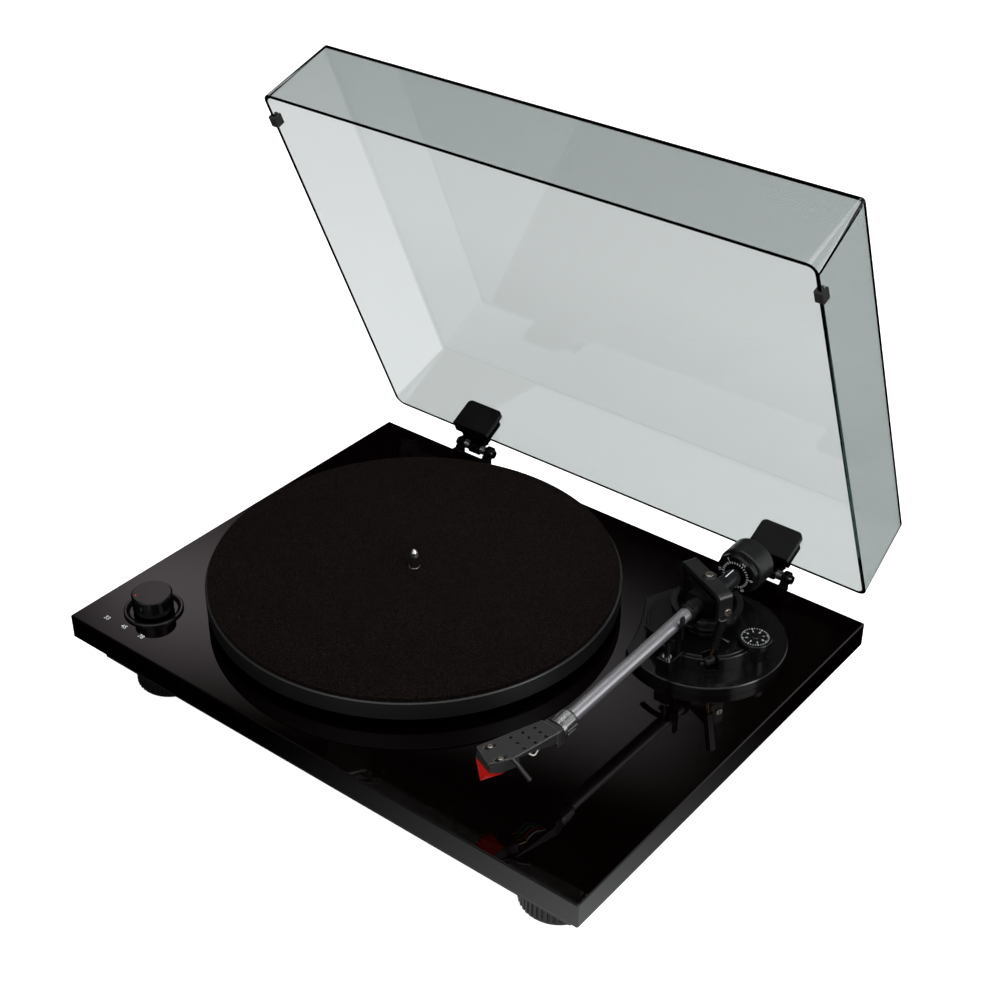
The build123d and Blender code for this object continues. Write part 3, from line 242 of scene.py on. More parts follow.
def felt():
    """Pressed wool felt: matted fibres in several sizes with paler flecks and a soft nap."""
    g = Graph("charcoal_felt")
    matted = g.noise(1100.0, 3.0, 0.7)
    fibres = g.noise(1500.0, 3.0, 0.7, stretch=(1.0, 0.35, 1.0))
    across = g.noise(1500.0, 3.0, 0.7, stretch=(0.35, 1.0, 1.0))
    patch = g.noise(26.0, 3.0, 0.5)
    tone = g.math("MULTIPLY", g.math("ADD", fibres, across), 0.5)
    base = g.mix(g.span(tone, 0.0, 1.0, 0.40, 0.62), (0.0006, 0.0002, 0.0002, 1.0), (0.0070, 0.0044, 0.0036, 1.0))
    fleck = g.span(matted, 0.0, 1.0, 0.52, 0.66)
    base = g.mix(fleck, base, (0.026, 0.0190, 0.0170, 1.0))
    base = g.mix(g.span(patch, 0.0, 0.3, 0.35, 0.7), base, (0.0035, 0.0024, 0.0020, 1.0))
    normal = g.bump(g.math("ADD", matted, tone), 0.30 * MM, 0.8)
    shader = g.shader(base=base, rough=0.97, normal=normal, sheen=0.008, sheen_rough=0.55, specular=0.02)
    return g.finish(shader)


def platter_finish():
    """Satin black platter with fine turning marks and a polished outer corner, its colour lightened there as a painted
    highlight.
    """
    g = Graph("platter_satin")
    lines, radius = rings(g, SPINDLE, 2400.0)
    fine = g.noise(3000.0, 3.0, 0.6)
    height = g.split(g.place())[2]
    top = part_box("platter")[1].z
    outer = g.span(radius, 0, 1, 149.0 * MM, 149.4 * MM, True)
    upper = g.span(height, 0, 1, top - 1.2 * MM, top - 0.6 * MM, True)
    polish_and_highlight = g.math("MULTIPLY", outer, upper)
    # The outer corner is really polished (less rough), and its lighter grey is a painted highlight.
    base = g.mix(polish_and_highlight, g.mix(fine, grey(0.0085), grey(0.0135)), grey(0.030))
    roughness = g.math("SUBTRACT", g.span(fine, 0.34, 0.42, 0.3, 0.7), g.math("MULTIPLY", polish_and_highlight, 0.12))
    normal = g.bump(lines, 0.006 * MM, 0.5, g.round_edges(0.35 * MM))
    return g.finish(g.shader(base=base, rough=roughness, normal=normal, specular=0.6))


def acrylic():
    """Smoked clear acrylic with painted shade: the plate tinted darker than the side walls, darker still towards its
    low end, and the rear wall darker too; lamps shine through it as through a tinted pane.
    """
    g = Graph("smoked_acrylic")
    wave = g.noise(6.0, 1.0, 0.4)
    roughness = g.span(g.noise(70.0, 3.0, 0.6), 0.0, 0.02, 0.3, 0.8)
    normal = g.bump(wave, 0.05 * MM, 0.25)
    along, up = g.split(g.local(COVER))[1:3]
    plate = g.span(up, 0.0, 1.0, 58.5 * MM, 60.0 * MM, True)
    # Painted shade: the plate, its low end by the hinge and the rear wall get darker tints than the side walls,
    # standing in for how dark the cover looks there, not for uneven acrylic.
    base = g.mix(plate, (0.83, 0.842, 0.842, 1.0), (0.725, 0.745, 0.742, 1.0))
    low = g.math("MULTIPLY", plate, g.span(along, 0.0, 0.40, -180.0 * MM, -20.0 * MM))
    rear = g.span(along, 0.0, 1.0, -9.5 * MM, -8.5 * MM)
    base = g.mix(low, base, (0.50, 0.52, 0.515, 1.0))
    base = g.mix(rear, base, (0.61, 0.63, 0.625, 1.0))
    glass = g.shader(base=base, rough=roughness, normal=normal, ior=1.49, clear=1.0)
    lamp = g.add("ShaderNodeBsdfTransparent")
    lamp.inputs[0].default_value = (0.87, 0.885, 0.88, 1.0)
    path = g.add("ShaderNodeLightPath")
    both = g.add("ShaderNodeMixShader")
    g.feed(both, {0: path.outputs["Is Shadow Ray"], 1: glass, 2: lamp.outputs[0]})
    inside = g.add("ShaderNodeVolumeAbsorption")
    inside.inputs["Color"].default_value = (0.0, 0.20, 0.17, 1.0)
    inside.inputs["Density"].default_value = 42.0
    g.link(inside.outputs[0], g.out.inputs["Volume"])
    return g.finish(both.outputs[0])


def red_clear():
    """Clear red moulding with slight flow marks and a faint painted glow of its own red."""
    g = Graph("clear_red")
    flow = g.noise(500.0, 2.0, 0.5)
    base = g.mix(flow, (0.66, 0.010, 0.008, 1.0), (0.85, 0.03, 0.02, 1.0))
    normal = g.bump(flow, 0.01 * MM, 0.4, g.round_edges(0.15 * MM))
    roughness = g.span(flow, 0.04, 0.10, 0.3, 0.7)
    # Painted glow: the guard gives off a faint red light of its own, though it is no lamp.
    return g.finish(g.shader(base=base, rough=roughness, normal=normal, ior=1.5, clear=0.5, glow=base, glow_power=0.10))


def shell_finish():
    """Dark grey anodised headshell, painted a paler grey along its edges."""
    g = Graph("headshell_grey")
    fine = g.noise(5200.0, 4.0, 0.65)
    bevel = g.round_edges(0.28 * MM)
    geometry = g.add("ShaderNodeNewGeometry")
    turn = g.vector("DOT_PRODUCT", bevel, geometry.outputs["Normal"]).outputs["Value"]
    pale_edge = g.span(turn, 1.0, 0.0, 0.90, 0.995)
    base = g.mix(fine, grey(0.012), grey(0.019))
    # The edges are painted a paler grey.
    base = g.mix(g.math("MULTIPLY", pale_edge, 0.8), base, (0.30, 0.30, 0.305, 1.0))
    normal = g.bump(fine, 0.003 * MM, 0.5, bevel)
    return g.finish(g.shader(base=base, rough=g.span(fine, 0.36, 0.52, 0.3, 0.7), normal=normal, specular=0.6))


def cartridge_finish():
    """Grey cartridge body with gold pins behind it."""
    g = Graph("cartridge_grey")
    pin = g.span(g.split(g.local(SHELL))[0], 1.0, 0.0, 32.8 * MM, 33.0 * MM)
    fine = g.noise(5200.0, 3.0, 0.6)
    base = g.mix(pin, g.mix(fine, grey(0.018), grey(0.028)), (0.83, 0.55, 0.20, 1.0))
    roughness = g.mix(pin, g.span(fine, 0.42, 0.56, 0.3, 0.7), grey(0.2))
    normal = g.bump(fine, 0.003 * MM, 0.5, g.round_edges(0.2 * MM))
    return g.finish(g.shader(base=base, rough=roughness, metal=pin, normal=normal))


def tube_finish():
    """Grey satin tube with lengthwise drawing marks."""
    g = Graph("tube_grey")
    where = g.local(ARM)
    lines = g.noise(4200.0, 2.0, 0.5, where=where, stretch=(1.0, 0.03, 1.0))
    slow = g.noise(25.0, 2.0)
    base = g.mix(slow, (0.62, 0.61, 0.64, 1.0), (0.68, 0.67, 0.70, 1.0))
    normal = g.bump(lines, 0.0008 * MM, 0.3)
    return g.finish(g.shader(base=base, rough=g.span(lines, 0.30, 0.35, 0.3, 0.7), metal=0.9, normal=normal))


def board_finish():
    """Green circuit board with darker tracks."""
    g = Graph("circuit_board")
    cells = g.add("ShaderNodeTexBrick")
    g.feed(cells, {"Vector": g.place(), "Scale": 160.0, "Mortar Size": 0.03})
    base = g.mix(cells.outputs["Fac"], (0.012, 0.085, 0.035, 1.0), (0.02, 0.16, 0.07, 1.0))
    normal = g.bump(cells.outputs["Fac"], 0.03 * MM, 0.5)
    return g.finish(g.shader(base=base, rough=g.span(g.noise(300.0), 0.25, 0.45), normal=normal))


def board_wood():
    """Painted hardboard with the screen texture of its pressed back."""
    g = Graph("pressed_hardboard")
    mesh = g.add("ShaderNodeTexVoronoi")
    g.feed(mesh, {"Vector": g.place(), "Scale": 420.0})
    fibre = g.noise(240.0, 5.0, 0.7)
    base = g.mix(fibre, (0.012, 0.010, 0.008, 1.0), (0.036, 0.028, 0.022, 1.0))
    normal = g.bump(mesh.outputs["Distance"], 0.2 * MM, 0.6)
    return g.finish(g.shader(base=base, rough=g.span(fibre, 0.62, 0.85), normal=normal))


def ink(name, colour, rough=0.5, glow=0.0):
    """Printed or painted marking with slightly uneven cover; glow makes it give off a faint painted light of its own.
    """
    g = Graph(name)
    fine = g.noise(4000.0, 2.0, 0.6)
    dim = tuple(c * 0.82 for c in colour)
    base = g.mix(fine, (*dim, 1.0), (*colour, 1.0))
    normal = g.bump(fine, 0.004 * MM, 0.4)
    roughness = g.span(fine, rough - 0.08, rough + 0.08)
    return g.finish(g.shader(base=base, rough=roughness, normal=normal, glow=base, glow_power=glow))


def nut_finish():
    """Bright turned aluminium, with fine marks round the arm's axis."""
    g = Graph("turned_bright")
    where = g.local(ARM)
    lines = g.noise(5200.0, 2.0, 0.6, where=where, stretch=(0.05, 1.0, 0.05))
    slow = g.noise(120.0, 2.0)
    base = g.mix(slow, grey(0.66), grey(0.74))
    normal = g.bump(lines, 0.001 * MM, 0.4, g.round_edges(0.2 * MM))
    return g.finish(g.shader(base=base, rough=g.span(lines, 0.20, 0.28, 0.3, 0.7), metal=1.0, normal=normal))


def polished(name, tone, rough):
    """Polished plating with hairline marks."""
    g = Graph(name)
    lines = g.noise(1600.0, 2.0, 0.6, stretch=(1.0, 1.0, 0.1))
    base = g.mix(g.noise(200.0, 2.0), (*[c * 0.93 for c in tone], 1.0), (*tone, 1.0))
    normal = g.bump(lines, 0.004 * MM, 0.4, g.round_edges(0.15 * MM))
    roughness = g.span(lines, rough * 0.7, rough * 1.5, 0.3, 0.7)
    return g.finish(g.shader(base=base, rough=roughness, metal=1.0, normal=normal))


def knob_finish():
    """Black knob with faint turned rings on its top."""
    g = Graph("knob_satin")
    lines = rings(g, KNOB, 4200.0)[0]
    fine = g.noise(6000.0, 3.0, 0.6)
    base = g.mix(fine, grey(0.0018), grey(0.0036))
    height = g.math("ADD", g.math("MULTIPLY", lines, 0.7), fine)
    normal = g.bump(height, 0.0008 * MM, 0.4, g.round_edges(0.5 * MM))
    return g.finish(g.shader(base=base, rough=g.span(lines, 0.10, 0.15, 0.3, 0.7), normal=normal, specular=0.5))


def lever_finish():
    """Cue lever: dark axle below the housing's top, bronze stem above it."""
    g = Graph("lever_bronze")
    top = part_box("arm_housing")[1].z
    stem = g.span(g.split(g.place())[2], 0.0, 1.0, top - 0.2 * MM, top + 0.2 * MM)
    fine = g.noise(2600.0, 3.0, 0.6)
    bronze = g.mix(fine, (0.30, 0.19, 0.09, 1.0), (0.42, 0.28, 0.14, 1.0))
    base = g.mix(stem, g.mix(fine, grey(0.004), grey(0.007)), bronze)
    normal = g.bump(fine, 0.004 * MM, 0.5, g.round_edges(0.15 * MM))
    roughness = g.mix(stem, grey(0.55), g.span(fine, 0.20, 0.30, 0.3, 0.7))
    return g.finish(g.shader(base=base, rough=roughness, metal=stem, normal=normal, specular=0.25))


def spindle_finish():
    """Ground steel spindle whose seat below the record is blackened."""
    g = Graph("spindle_steel")
    lines, radius = rings(g, SPINDLE, 5000.0)
    seat = g.span(radius, 0.0, 1.0, 3.65 * MM, 3.75 * MM)
    base = g.mix(seat, g.mix(g.noise(200.0, 2.0), grey(0.62), grey(0.70)), grey(0.012))
    normal = g.bump(lines, 0.003 * MM, 0.4, g.round_edges(0.2 * MM))
    metal_part = g.math("SUBTRACT", 1.0, seat)
    return g.finish(g.shader(base=base, rough=g.span(lines, 0.20, 0.30, 0.3, 0.7), metal=metal_part, normal=normal))


def rubber_finish(name, tone):
    """Dull rubber with a rough skin."""
    g = Graph(name)
    fine = g.noise(1100.0, 5.0, 0.7)
    base = g.mix(fine, grey(tone * 0.7), grey(tone * 1.4))
    return g.finish(g.shader(base=base, rough=g.span(fine, 0.65, 0.9, 0.3, 0.7), normal=g.bump(fine, 0.05 * MM, 0.6)))


SATIN = moulded("satin_plastic", (0.0060, 0.0060, 0.0062), (0.0030, 0.0030, 0.0032), 0.26, specular=0.4)
GLOSS = moulded("gloss_plastic", (0.006, 0.0055, 0.0055), (0.004, 0.0035, 0.0035), 0.10, grain=500.0, depth=0.003)
ANODISED = anodised("anodised_black", 0.006, 0.22)
STEEL = metal("zinc_steel", (0.50, 0.50, 0.51), (0.38, 0.38, 0.38), 0.28)
WARM_STEEL = metal("screw_steel", (0.66, 0.60, 0.52), (0.48, 0.43, 0.37), 0.24, grain=1500.0, edge=0.12)
DARK_STEEL = metal("black_screws", (0.09, 0.085, 0.08), (0.05, 0.047, 0.045), 0.32, edge=0.15)
CHROME = polished("polished_chrome", (0.78, 0.78, 0.79), 0.07)
# The white print glows faintly: painted light that keeps it bright under any lamp.
WHITE = ink("white_print", (0.76, 0.80, 0.82), 0.5, 0.30)
FINISHES = {
    "top_plinth": lacquer(),
    "lower_plinth": moulded("satin_lacquer", (0.013, 0.0125, 0.0125), (0.008, 0.0075, 0.0075), 0.34, grain=600.0),
    "base_cover": board_wood(),
    "frame_screws": DARK_STEEL,
    "feet": moulded("foot_plastic", (0.010, 0.0095, 0.010), (0.005, 0.005, 0.005), 0.42),
    "foot_pads": rubber_finish("pad_rubber", 0.014),
    "foot_bolts": STEEL,
    "terminal_panel": SATIN,
    "rca_jacks": polished("gold_plate", (0.86, 0.62, 0.26), 0.12),
    "ground_post": STEEL,
    "dc_inlet": GLOSS,
    "control_board": board_finish(),
    "bearing_housing": metal("turned_aluminium", (0.52, 0.52, 0.53), (0.42, 0.42, 0.43), 0.22),
    "bearing_bush": polished("bearing_brass", (0.70, 0.48, 0.20), 0.2),
    "thrust_ball": CHROME,
    "motor_body": STEEL,
    "motor_plate": DARK_STEEL,
    "motor_shaft": polished("ground_steel", (0.60, 0.60, 0.61), 0.12),
    "motor_pulley": metal("pulley_aluminium", (0.55, 0.55, 0.56), (0.46, 0.46, 0.47), 0.2, edge=0.1),
    "drive_belt": rubber_finish("belt_rubber", 0.02),
    "sub_platter": moulded("hub_plastic", (0.016, 0.016, 0.017), (0.010, 0.010, 0.010), 0.4),
    "spindle": spindle_finish(),
    "platter": platter_finish(),
    "slip_mat": felt(),
    "speed_switch": moulded("switch_plastic", (0.03, 0.03, 0.032), (0.02, 0.02, 0.02), 0.45),
    "knob_ring": GLOSS,
    "speed_knob": knob_finish(),
    "arm_base": anodised("arm_base_satin", 0.0035, 0.17, edge=0.5),
    "arm_housing": moulded(
        "housing_satin", (0.0045, 0.0040, 0.0038), (0.0025, 0.0023, 0.0022), 0.16, edge=0.5, specular=0.4
    ),
    "arm_column": ANODISED,
    "arm_rest": SATIN,
    "lift_cylinder": CHROME,
    "lift_bar": SATIN,
    "cue_lever": lever_finish(),
    "cue_handle": GLOSS,
    "antiskate_dial": moulded("dial_satin", (0.0045, 0.0045, 0.0045), (0.0025, 0.0025, 0.0025), 0.20, edge=0.3),
    "yoke": anodised("yoke_satin", 0.0105, 0.33, edge=0.5),
    "yoke_cup": moulded("cup_satin", (0.0045, 0.0045, 0.0045), (0.0028, 0.0028, 0.0028), 0.20, edge=0.35, specular=0.9),
    "yoke_screws": WARM_STEEL,
    "bias_pin": CHROME,
    "gimbal_block": SATIN,
    "arm_tube": tube_finish(),
    "tube_collar": moulded("collar_grey", (0.010, 0.010, 0.0108), (0.006, 0.006, 0.0066), 0.24, edge=0.25),
    "rear_stub": moulded("stub_grey", (0.012, 0.013, 0.0155), (0.008, 0.0085, 0.0105), 0.26, edge=0.25),
    "headshell_nut": nut_finish(),
    "headshell": shell_finish(),
    "finger_lift": anodised("finger_lift_satin", 0.015, 0.30),
    "cartridge_body": cartridge_finish(),
    "stylus_guard": red_clear(),
    "cartridge_screws": metal(
        "cartridge_screw_steel", (0.40, 0.36, 0.32), (0.26, 0.23, 0.20), 0.3, grain=1500.0, edge=0.1
    ),
    "weight_sleeve": moulded("sleeve_black", (0.0016, 0.0016, 0.0016), (0.0009, 0.0009, 0.0009), 0.5, specular=0.1),
    "counterweight": anodised("weight_satin", 0.0095, 0.30, edge=0.5),
    "scale_ring": moulded("scale_satin", (0.005, 0.0045, 0.0045), (0.003, 0.003, 0.003), 0.20, edge=0.35),
    "dust_cover": acrylic(),
    "cover_clips": moulded(
        "clip_black", (0.0030, 0.0026, 0.0022), (0.0018, 0.0016, 0.0014), 0.24, edge=0.4, specular=0.12
    ),
    "cover_bumpers": rubber_finish("bumper_rubber", 0.018),
    "hinge_brackets": moulded(
        "bracket_black", (0.0045, 0.0042, 0.0040), (0.0028, 0.0026, 0.0025), 0.26, edge=0.35, specular=0.12
    ),
    "hinge_pins": CHROME,
    "hinge_springs": STEEL,
}
for node, finish in FINISHES.items():
    for material_slot in NODES[node].material_slots:
        material_slot.material = finish


# ---------------------------------------------------------------- piece helpers


def piece(name, mesh, finish, body):
    """Link a mesh as a piece that rides on a body."""
    mesh.name = name
    obj = bpy.data.objects.new(name, mesh)
    bpy.context.scene.collection.objects.link(obj)
    obj.data.materials.clear()
    obj.data.materials.append(finish)
    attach(obj, body)
    return obj


def letters(text, size, depth):
    """Mesh of some digits, centred on the origin, standing on z = 0."""
    curve = bpy.data.curves.new("digits", "FONT")
    curve.body = text
    curve.size = size
    curve.extrude = depth / 2
    curve.align_x = "CENTER"
    curve.align_y = "CENTER"
    curve.resolution_u = 3
    holder = bpy.data.objects.new("digits", curve)
    bpy.context.scene.collection.objects.link(holder)
    bpy.context.view_layer.update()
    graph = bpy.context.evaluated_depsgraph_get()
    mesh = bpy.data.meshes.new_from_object(holder.evaluated_get(graph))
    bpy.data.objects.remove(holder)
    bpy.data.curves.remove(curve)
    mesh.transform(Matrix.Translation((0, 0, depth / 2)))
    return mesh


def join(meshes, name):
    """One mesh from several."""
    form = bmesh.new()
    for mesh in meshes:
        form.from_mesh(mesh)
        bpy.data.meshes.remove(mesh)
    joined = bpy.data.meshes.new(name)
    form.to_mesh(joined)
    form.free()
    return joined


def bar(length, width, depth):
    """Thin printed stroke along X, standing on z = 0, with clipped corners."""
    form = bmesh.new()
    c = min(length, width) * 0.22
    outline = [
        (-length / 2 + c, -width / 2), (length / 2 - c, -width / 2), (length / 2, -width / 2 + c),
        (length / 2, width / 2 - c), (length / 2 - c, width / 2), (-length / 2 + c, width / 2),
        (-length / 2, width / 2 - c), (-length / 2, -width / 2 + c),
    ]
    face = form.faces.new([form.verts.new((x, y, 0)) for x, y in outline])
    grown = bmesh.ops.extrude_face_region(form, geom=[face])
    moved = [v for v in grown["geom"] if isinstance(v, bmesh.types.BMVert)]
    bmesh.ops.translate(form, verts=moved, vec=(0, 0, depth))
    bmesh.ops.recalc_face_normals(form, faces=form.faces)
    mesh = bpy.data.meshes.new("bar")
    form.to_mesh(mesh)
    form.free()
    return mesh


def lathe(profile, steps):
    """Solid of revolution about Z from (radius, z) points; ends on the axis are closed."""
    form = bmesh.new()
    rows = []
    for r, z in profile:
        if r < 1e-9:
            rows.append([form.verts.new((0, 0, z))])
        else:
            turn = [2 * math.pi * i / steps for i in range(steps)]
            rows.append([form.verts.new((r * math.cos(a), r * math.sin(a), z)) for a in turn])
    for low, high in zip(rows, rows[1:]):
        for i in range(steps):
            j = (i + 1) % steps
            quad = [low[i % len(low)], low[j % len(low)], high[j % len(high)], high[i % len(high)]]
            unique = list(dict.fromkeys(quad))
            if len(unique) > 2:
                form.faces.new(unique)
    bmesh.ops.recalc_face_normals(form, faces=form.faces)
    mesh = bpy.data.meshes.new("lathe")
    form.to_mesh(mesh)
    form.free()
    for polygon in mesh.polygons:
        polygon.use_smooth = True
    return mesh


def tube(points, radius):
    """Round wire along a smooth path, ends closed."""
    curve = bpy.data.curves.new("wire", "CURVE")
    curve.dimensions = "3D"
    spline = curve.splines.new("NURBS")
    spline.points.add(len(points) - 1)
    for target, point in zip(spline.points, points):
        target.co = (*point, 1.0)
    spline.order_u = 3
    spline.use_endpoint_u = True
    spline.resolution_u = 10
    curve.bevel_depth = radius
    curve.bevel_resolution = 4
    curve.use_fill_caps = True
    holder = bpy.data.objects.new("wire", curve)
    bpy.context.scene.collection.objects.link(holder)
    bpy.context.view_layer.update()
    graph = bpy.context.evaluated_depsgraph_get()
    mesh = bpy.data.meshes.new_from_object(holder.evaluated_get(graph))
    bpy.data.objects.remove(holder)
    bpy.data.curves.remove(curve)
    for polygon in mesh.polygons:
        polygon.use_smooth = True
    return mesh


# ---------------------------------------------------------------- printed marks

MARK_DEPTH = 0.04 * MM
SIDEWAYS = Matrix.Rotation(-math.pi / 2, 4, "Z")


def around(angle, radius):
    """Place at an angle and a radius in mm on a round face."""
    return Matrix.Rotation(angle, 4, "Z") @ Matrix.Translation((radius * MM, 0, 0))


SPEED_MARKS = (("33", -18.8, -27.3), ("45", -1.5, -26.9), ("78", 16.4, -27.1))  # places from the knob, mm
SPEED_SIZE = 5.0
marks = []
for text, dx, dy in SPEED_MARKS:
    mark = letters(text, SPEED_SIZE * MM, 0.05 * MM)
    mark.transform(Matrix.Translation((KNOB.x + dx * MM, KNOB.y + dy * MM, DECK)))
    marks.append(mark)
piece("speed_numbers", join(marks, "speed_numbers"), WHITE, "plinth")

DOT_ANGLE = math.radians(-123.0)
DOT_REACH = 11.6 * MM
dot = lathe([(0, 0), (0.85 * MM, 0), (0.85 * MM, 0.06 * MM), (0.6 * MM, 0.12 * MM), (0, 0.13 * MM)], 24)
dot_x = KNOB.x + DOT_REACH * math.cos(DOT_ANGLE)
dot_y = KNOB.y + DOT_REACH * math.sin(DOT_ANGLE)
dot.transform(Matrix.Translation((dot_x, dot_y, KNOB_TOP)))
piece("knob_dot", dot, ink("red_mark", (0.62, 0.02, 0.015), 0.4), "speed_selector")

# Dial for the side force: a band of strokes all round, and digits inside them
DIAL_STROKES = 32
DIAL_FACE = Matrix.Translation((DIAL.x, DIAL.y, DIAL_TOP - 1.0 * MM))
marks = []
for i in range(DIAL_STROKES):
    angle = 2 * math.pi * i / DIAL_STROKES
    long = i % 4 == 0
    length = 1.7 if long else 1.0
    stroke = bar(length * MM, (0.42 if long else 0.28) * MM, MARK_DEPTH)
    stroke.transform(DIAL_FACE @ around(angle, 9.7 - length / 2))
    marks.append(stroke)
    if long:
        digit = letters(str(i // 4), 2.4 * MM, MARK_DEPTH)
        digit.transform(DIAL_FACE @ around(angle, 5.9) @ SIDEWAYS)
        marks.append(digit)
piece("side_force_numbers", join(marks, "side_force_numbers"), WHITE, "antiskate")

# Front face of the tracking force ring
RING_FRONT = 41.8 - 0.3 - 5.5  # behind the pivot, mm
RING_STROKES = 30
FACE = (
    ARM
    @ Matrix.Translation(Vector((0, RING_FRONT, STUB_Z)) * MM)
    @ Matrix.Rotation(math.pi / 2, 4, "X")
)
marks = []
for i in range(RING_STROKES):
    angle = 2 * math.pi * i / RING_STROKES
    long = i % 10 == 0
    middle = i % 5 == 0
    length = 2.2 if middle else 1.7
    stroke = bar(length * MM, 0.40 * MM, MARK_DEPTH)
    stroke.transform(FACE @ around(angle, 8.9 + length / 2))
    marks.append(stroke)
    if middle:
        text = str(i // 10) if long else f"{i / 10:.1f}"
        digit = letters(text, (3.2 if long else 2.4) * MM, MARK_DEPTH)
        digit.transform(FACE @ around(angle, 12.7) @ SIDEWAYS)
        marks.append(digit)
piece("force_numbers", join(marks, "force_numbers"), WHITE, "force_scale")

# Index line along the top of the stub
line = bar(10.5 * MM, 0.75 * MM, 0.05 * MM)
lengthwise = Matrix.Rotation(math.pi / 2, 4, "Z")
line.transform(ARM @ Matrix.Translation(Vector((0.0, 27.6, STUB_Z + 6.2)) * MM) @ lengthwise)
piece("force_index_line", line, WHITE, "arm")


# ---------------------------------------------------------------- headshell leads and stylus

LEADS = (
    ("blue", (0.05, 0.12, 0.42)),
    ("green", (0.03, 0.38, 0.10)),
    ("red", (0.75, 0.03, 0.02)),
    ("white", (0.80, 0.80, 0.78)),
)
gold = FINISHES["rca_jacks"]


def shell_wire(points, radius):
    """Wire through points in mm in the headshell's frame."""
    return tube([SHELL @ (Vector(point) * MM) for point in points], radius * MM)


for index, (name, colour) in enumerate(LEADS):
    step = index - 1.5
    pin = 3.0 + step * 3.2
    root = 1.0 + step * 2.4
    route = [
        (9.0, root, 1.0), (12.5, root, 0.9), (16.5, (root + pin) / 2, -2.6),
        (20.0, pin + 0.5, -4.4), (23.0, pin + 0.4, -2.6), (25.5, pin, 0.8),
    ]
    wire = shell_wire(route, 0.5)
    # The lead sleeves glow faintly too: painted light.
    piece(f"lead_{name}", wire, ink(f"{name}_sleeve", colour, 0.42, 0.12), "arm")
    clip = shell_wire(((25.2, pin, 0.8), (27.5, pin, 0.8), (30.6, pin, 0.8)), 0.78)
    piece(f"lead_clip_{name}", clip, gold, "arm")
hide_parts("headshell_wires")

cantilever = shell_wire(((47.0, 3.0, -7.0), (50.0, 3.0, -8.6), (53.2, 3.0, -10.4)), 0.25)
piece("cantilever", cantilever, CHROME, "arm")


# ---------------------------------------------------------------- rear socket colours

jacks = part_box("rca_jacks")
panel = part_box("terminal_panel")
JACK_R = 5.6 * MM
SOCKETS = (("white", jacks[0].x + JACK_R, (0.7, 0.7, 0.68)), ("red", jacks[1].x - JACK_R, (0.55, 0.02, 0.02)))
SOCKET_PROFILE = (
    (4.3, 0.0), (6.3, 0.0), (6.3, 0.7), (5.9, 1.1), (5.7, 1.1), (5.7, 1.3), (5.3, 1.45), (4.3, 1.45), (4.3, 0.0),
)
height = (jacks[0].z + jacks[1].z) / 2
for name, x, colour in SOCKETS:
    ring = lathe([(r * MM, z * MM) for r, z in SOCKET_PROFILE], 56)
    ring.transform(Matrix.Translation((x, panel[1].y, height)) @ Matrix.Rotation(-math.pi / 2, 4, "X"))
    piece(f"socket_ring_{name}", ring, ink(f"socket_{name}", colour, 0.35), "plinth")


# ---------------------------------------------------------------- floor, light and camera

g = Graph("floor_paper")
paper = g.noise(3.0, 3.0, 0.5)
tone = g.mix(paper, grey(0.90), grey(0.93))
path = g.add("ShaderNodeLightPath").outputs
direct = g.math("MULTIPLY", path["Is Camera Ray"], 0.70)
through = g.math("MULTIPLY", path["Is Transmission Ray"], 0.14)
seen = g.math("ADD", direct, through)
lit = g.shader(base=tone, rough=0.9, specular=0.1, glow=grey(1.0), glow_power=g.math("ADD", seen, 0.25))
# What polished faces show of the floor: a pool of light before the front right corner
POOL_CENTRE = (0.254, -0.246, 0.0)
POOL_RADIUS = 0.36
away = g.vector("LENGTH", g.vector("SUBTRACT", g.place(), POOL_CENTRE).outputs[0]).outputs["Value"]
near = g.math("POWER", g.span(away, 1.0, 0.0, 0.0, POOL_RADIUS), 2.4)
pool = g.feed(g.add("ShaderNodeEmission"), {"Color": (0.98, 1.0, 1.0, 1.0), "Strength": g.math("MULTIPLY", near, 1.4)})
mirrored = g.math("SUBTRACT", path["Is Glossy Ray"], path["Is Transmission Ray"], True)
both = g.feed(g.add("ShaderNodeMixShader"), {0: mirrored, 1: lit, 2: pool.outputs[0]})
floor_finish = g.finish(both.outputs[0])
REACH = 14  # half the floor's width, m
floor_mesh = bpy.data.meshes.new("floor")
floor_corners = [(-REACH, -REACH, 0), (REACH, -REACH, 0), (REACH, REACH, 0), (-REACH, REACH, 0)]
floor_mesh.from_pydata(floor_corners, [], [(0, 1, 2, 3)])
floor = bpy.data.objects.new("floor", floor_mesh)
bpy.context.scene.collection.objects.link(floor)
floor_mesh.materials.append(floor_finish)


def softbox(name, place, aim, size, power):
    """Rectangular area light aimed at a point."""
    lamp = bpy.data.lights.new(name, "AREA")
    lamp.shape = "RECTANGLE"
    lamp.size = size[0]
    lamp.size_y = size[1]
    lamp.energy = power
    obj = bpy.data.objects.new(name, lamp)
    obj.location = place
    obj.rotation_euler = (Vector(aim) - Vector(place)).to_track_quat("-Z", "Y").to_euler()
    bpy.context.scene.collection.objects.link(obj)


softbox("overhead", (-0.1, 0.1, 2.3), (0.0, 0.0, 0.0), (2.0, 2.0), 26.0)
softbox("right_fill", (2.1, 0.1, 1.1), (0.1, 0.0, 0.1), (1.2, 1.0), 18.0)
softbox("front_fill", (0.6, -2.4, 1.5), (0.0, 0.0, 0.1), (1.8, 0.9), 6.0)

world = bpy.data.worlds.new("studio")
bpy.context.scene.world = world
g = Graph("studio", world)
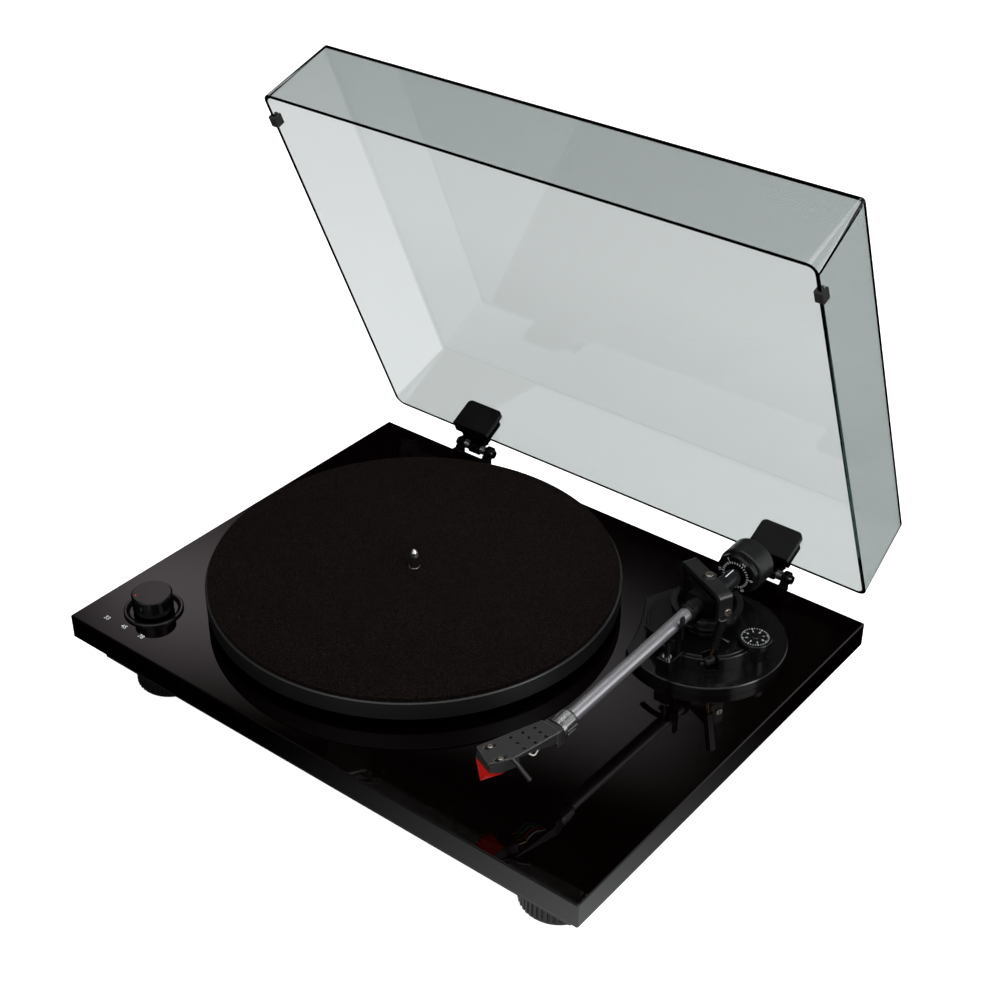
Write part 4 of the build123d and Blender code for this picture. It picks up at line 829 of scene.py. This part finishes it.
# Faint reddish bounce all round; a narrow pale band behind on the left, a panel low on the right and
# behind, and a broad dim one above the front. Headings are in degrees from the x axis towards y.
east, north, up = g.split(g.add("ShaderNodeTexCoord").outputs["Generated"])
height = g.math("DEGREES", g.math("ARCSINE", up))
heading = g.math("DEGREES", g.math("ARCTAN2", north, east))
middle = g.span(heading, 39.84, 34.52, 120.0, 148.0)
rise = g.span(g.math("ABSOLUTE", g.math("SUBTRACT", height, middle)), 1.0, 0.0, 0.0, 4.4, True)
fade_in = g.span(heading, 0.0, 1.0, 117.8, 125.3, True)
fade_out = g.span(heading, 1.0, 0.0, 141.5, 147.5, True)
turn = g.math("MULTIPLY", fade_in, fade_out)
front = g.span(g.math("ABSOLUTE", g.math("ADD", heading, 45.0)), 1.0, 0.0, 60.0, 115.0, True)
above = g.math("MULTIPLY", front, g.span(height, 0.0, 1.0, 18.0, 55.0, True))
side = g.span(g.math("ABSOLUTE", g.math("SUBTRACT", heading, 50.0)), 1.0, 0.0, 8.0, 42.0, True)
level = g.span(g.math("ABSOLUTE", g.math("SUBTRACT", height, 8.0)), 1.0, 0.0, 4.0, 34.0, True)
haze = g.mix(above, (0.0060, 0.0030, 0.0032, 1.0), (0.60, 0.60, 0.61, 1.0))
haze = g.mix(g.math("MULTIPLY", side, level), haze, (0.85, 0.85, 0.88, 1.0))
haze = g.mix(g.math("MULTIPLY", rise, turn), haze, (1.0, 0.88, 0.90, 1.0))
dim = g.feed(g.add("ShaderNodeBackground"), {"Color": haze})
pale = g.feed(g.add("ShaderNodeBackground"), {"Color": (0.92, 0.92, 0.93, 1.0)})
path = g.add("ShaderNodeLightPath").outputs
through = g.math("SUBTRACT", path["Is Transmission Ray"], path["Glossy Depth"], True)
seen = g.math("MAXIMUM", path["Is Camera Ray"], through)
sky = g.feed(g.add("ShaderNodeMixShader"), {0: seen, 1: dim.outputs[0], 2: pale.outputs[0]})
g.finish(sky.outputs[0])

lens = bpy.data.cameras.new("camera")
lens.lens = 63.21
lens.sensor_width = 36.0
lens.clip_end = 60.0
camera = bpy.data.objects.new("camera", lens)
camera.location = (0.6377, -0.7985, 0.8240)
camera.rotation_euler = (math.radians(56.52), 0.0, math.radians(38.38))
bpy.context.scene.collection.objects.link(camera)
bpy.context.scene.camera = camera
bpy.context.scene.view_settings.view_transform = "Standard"
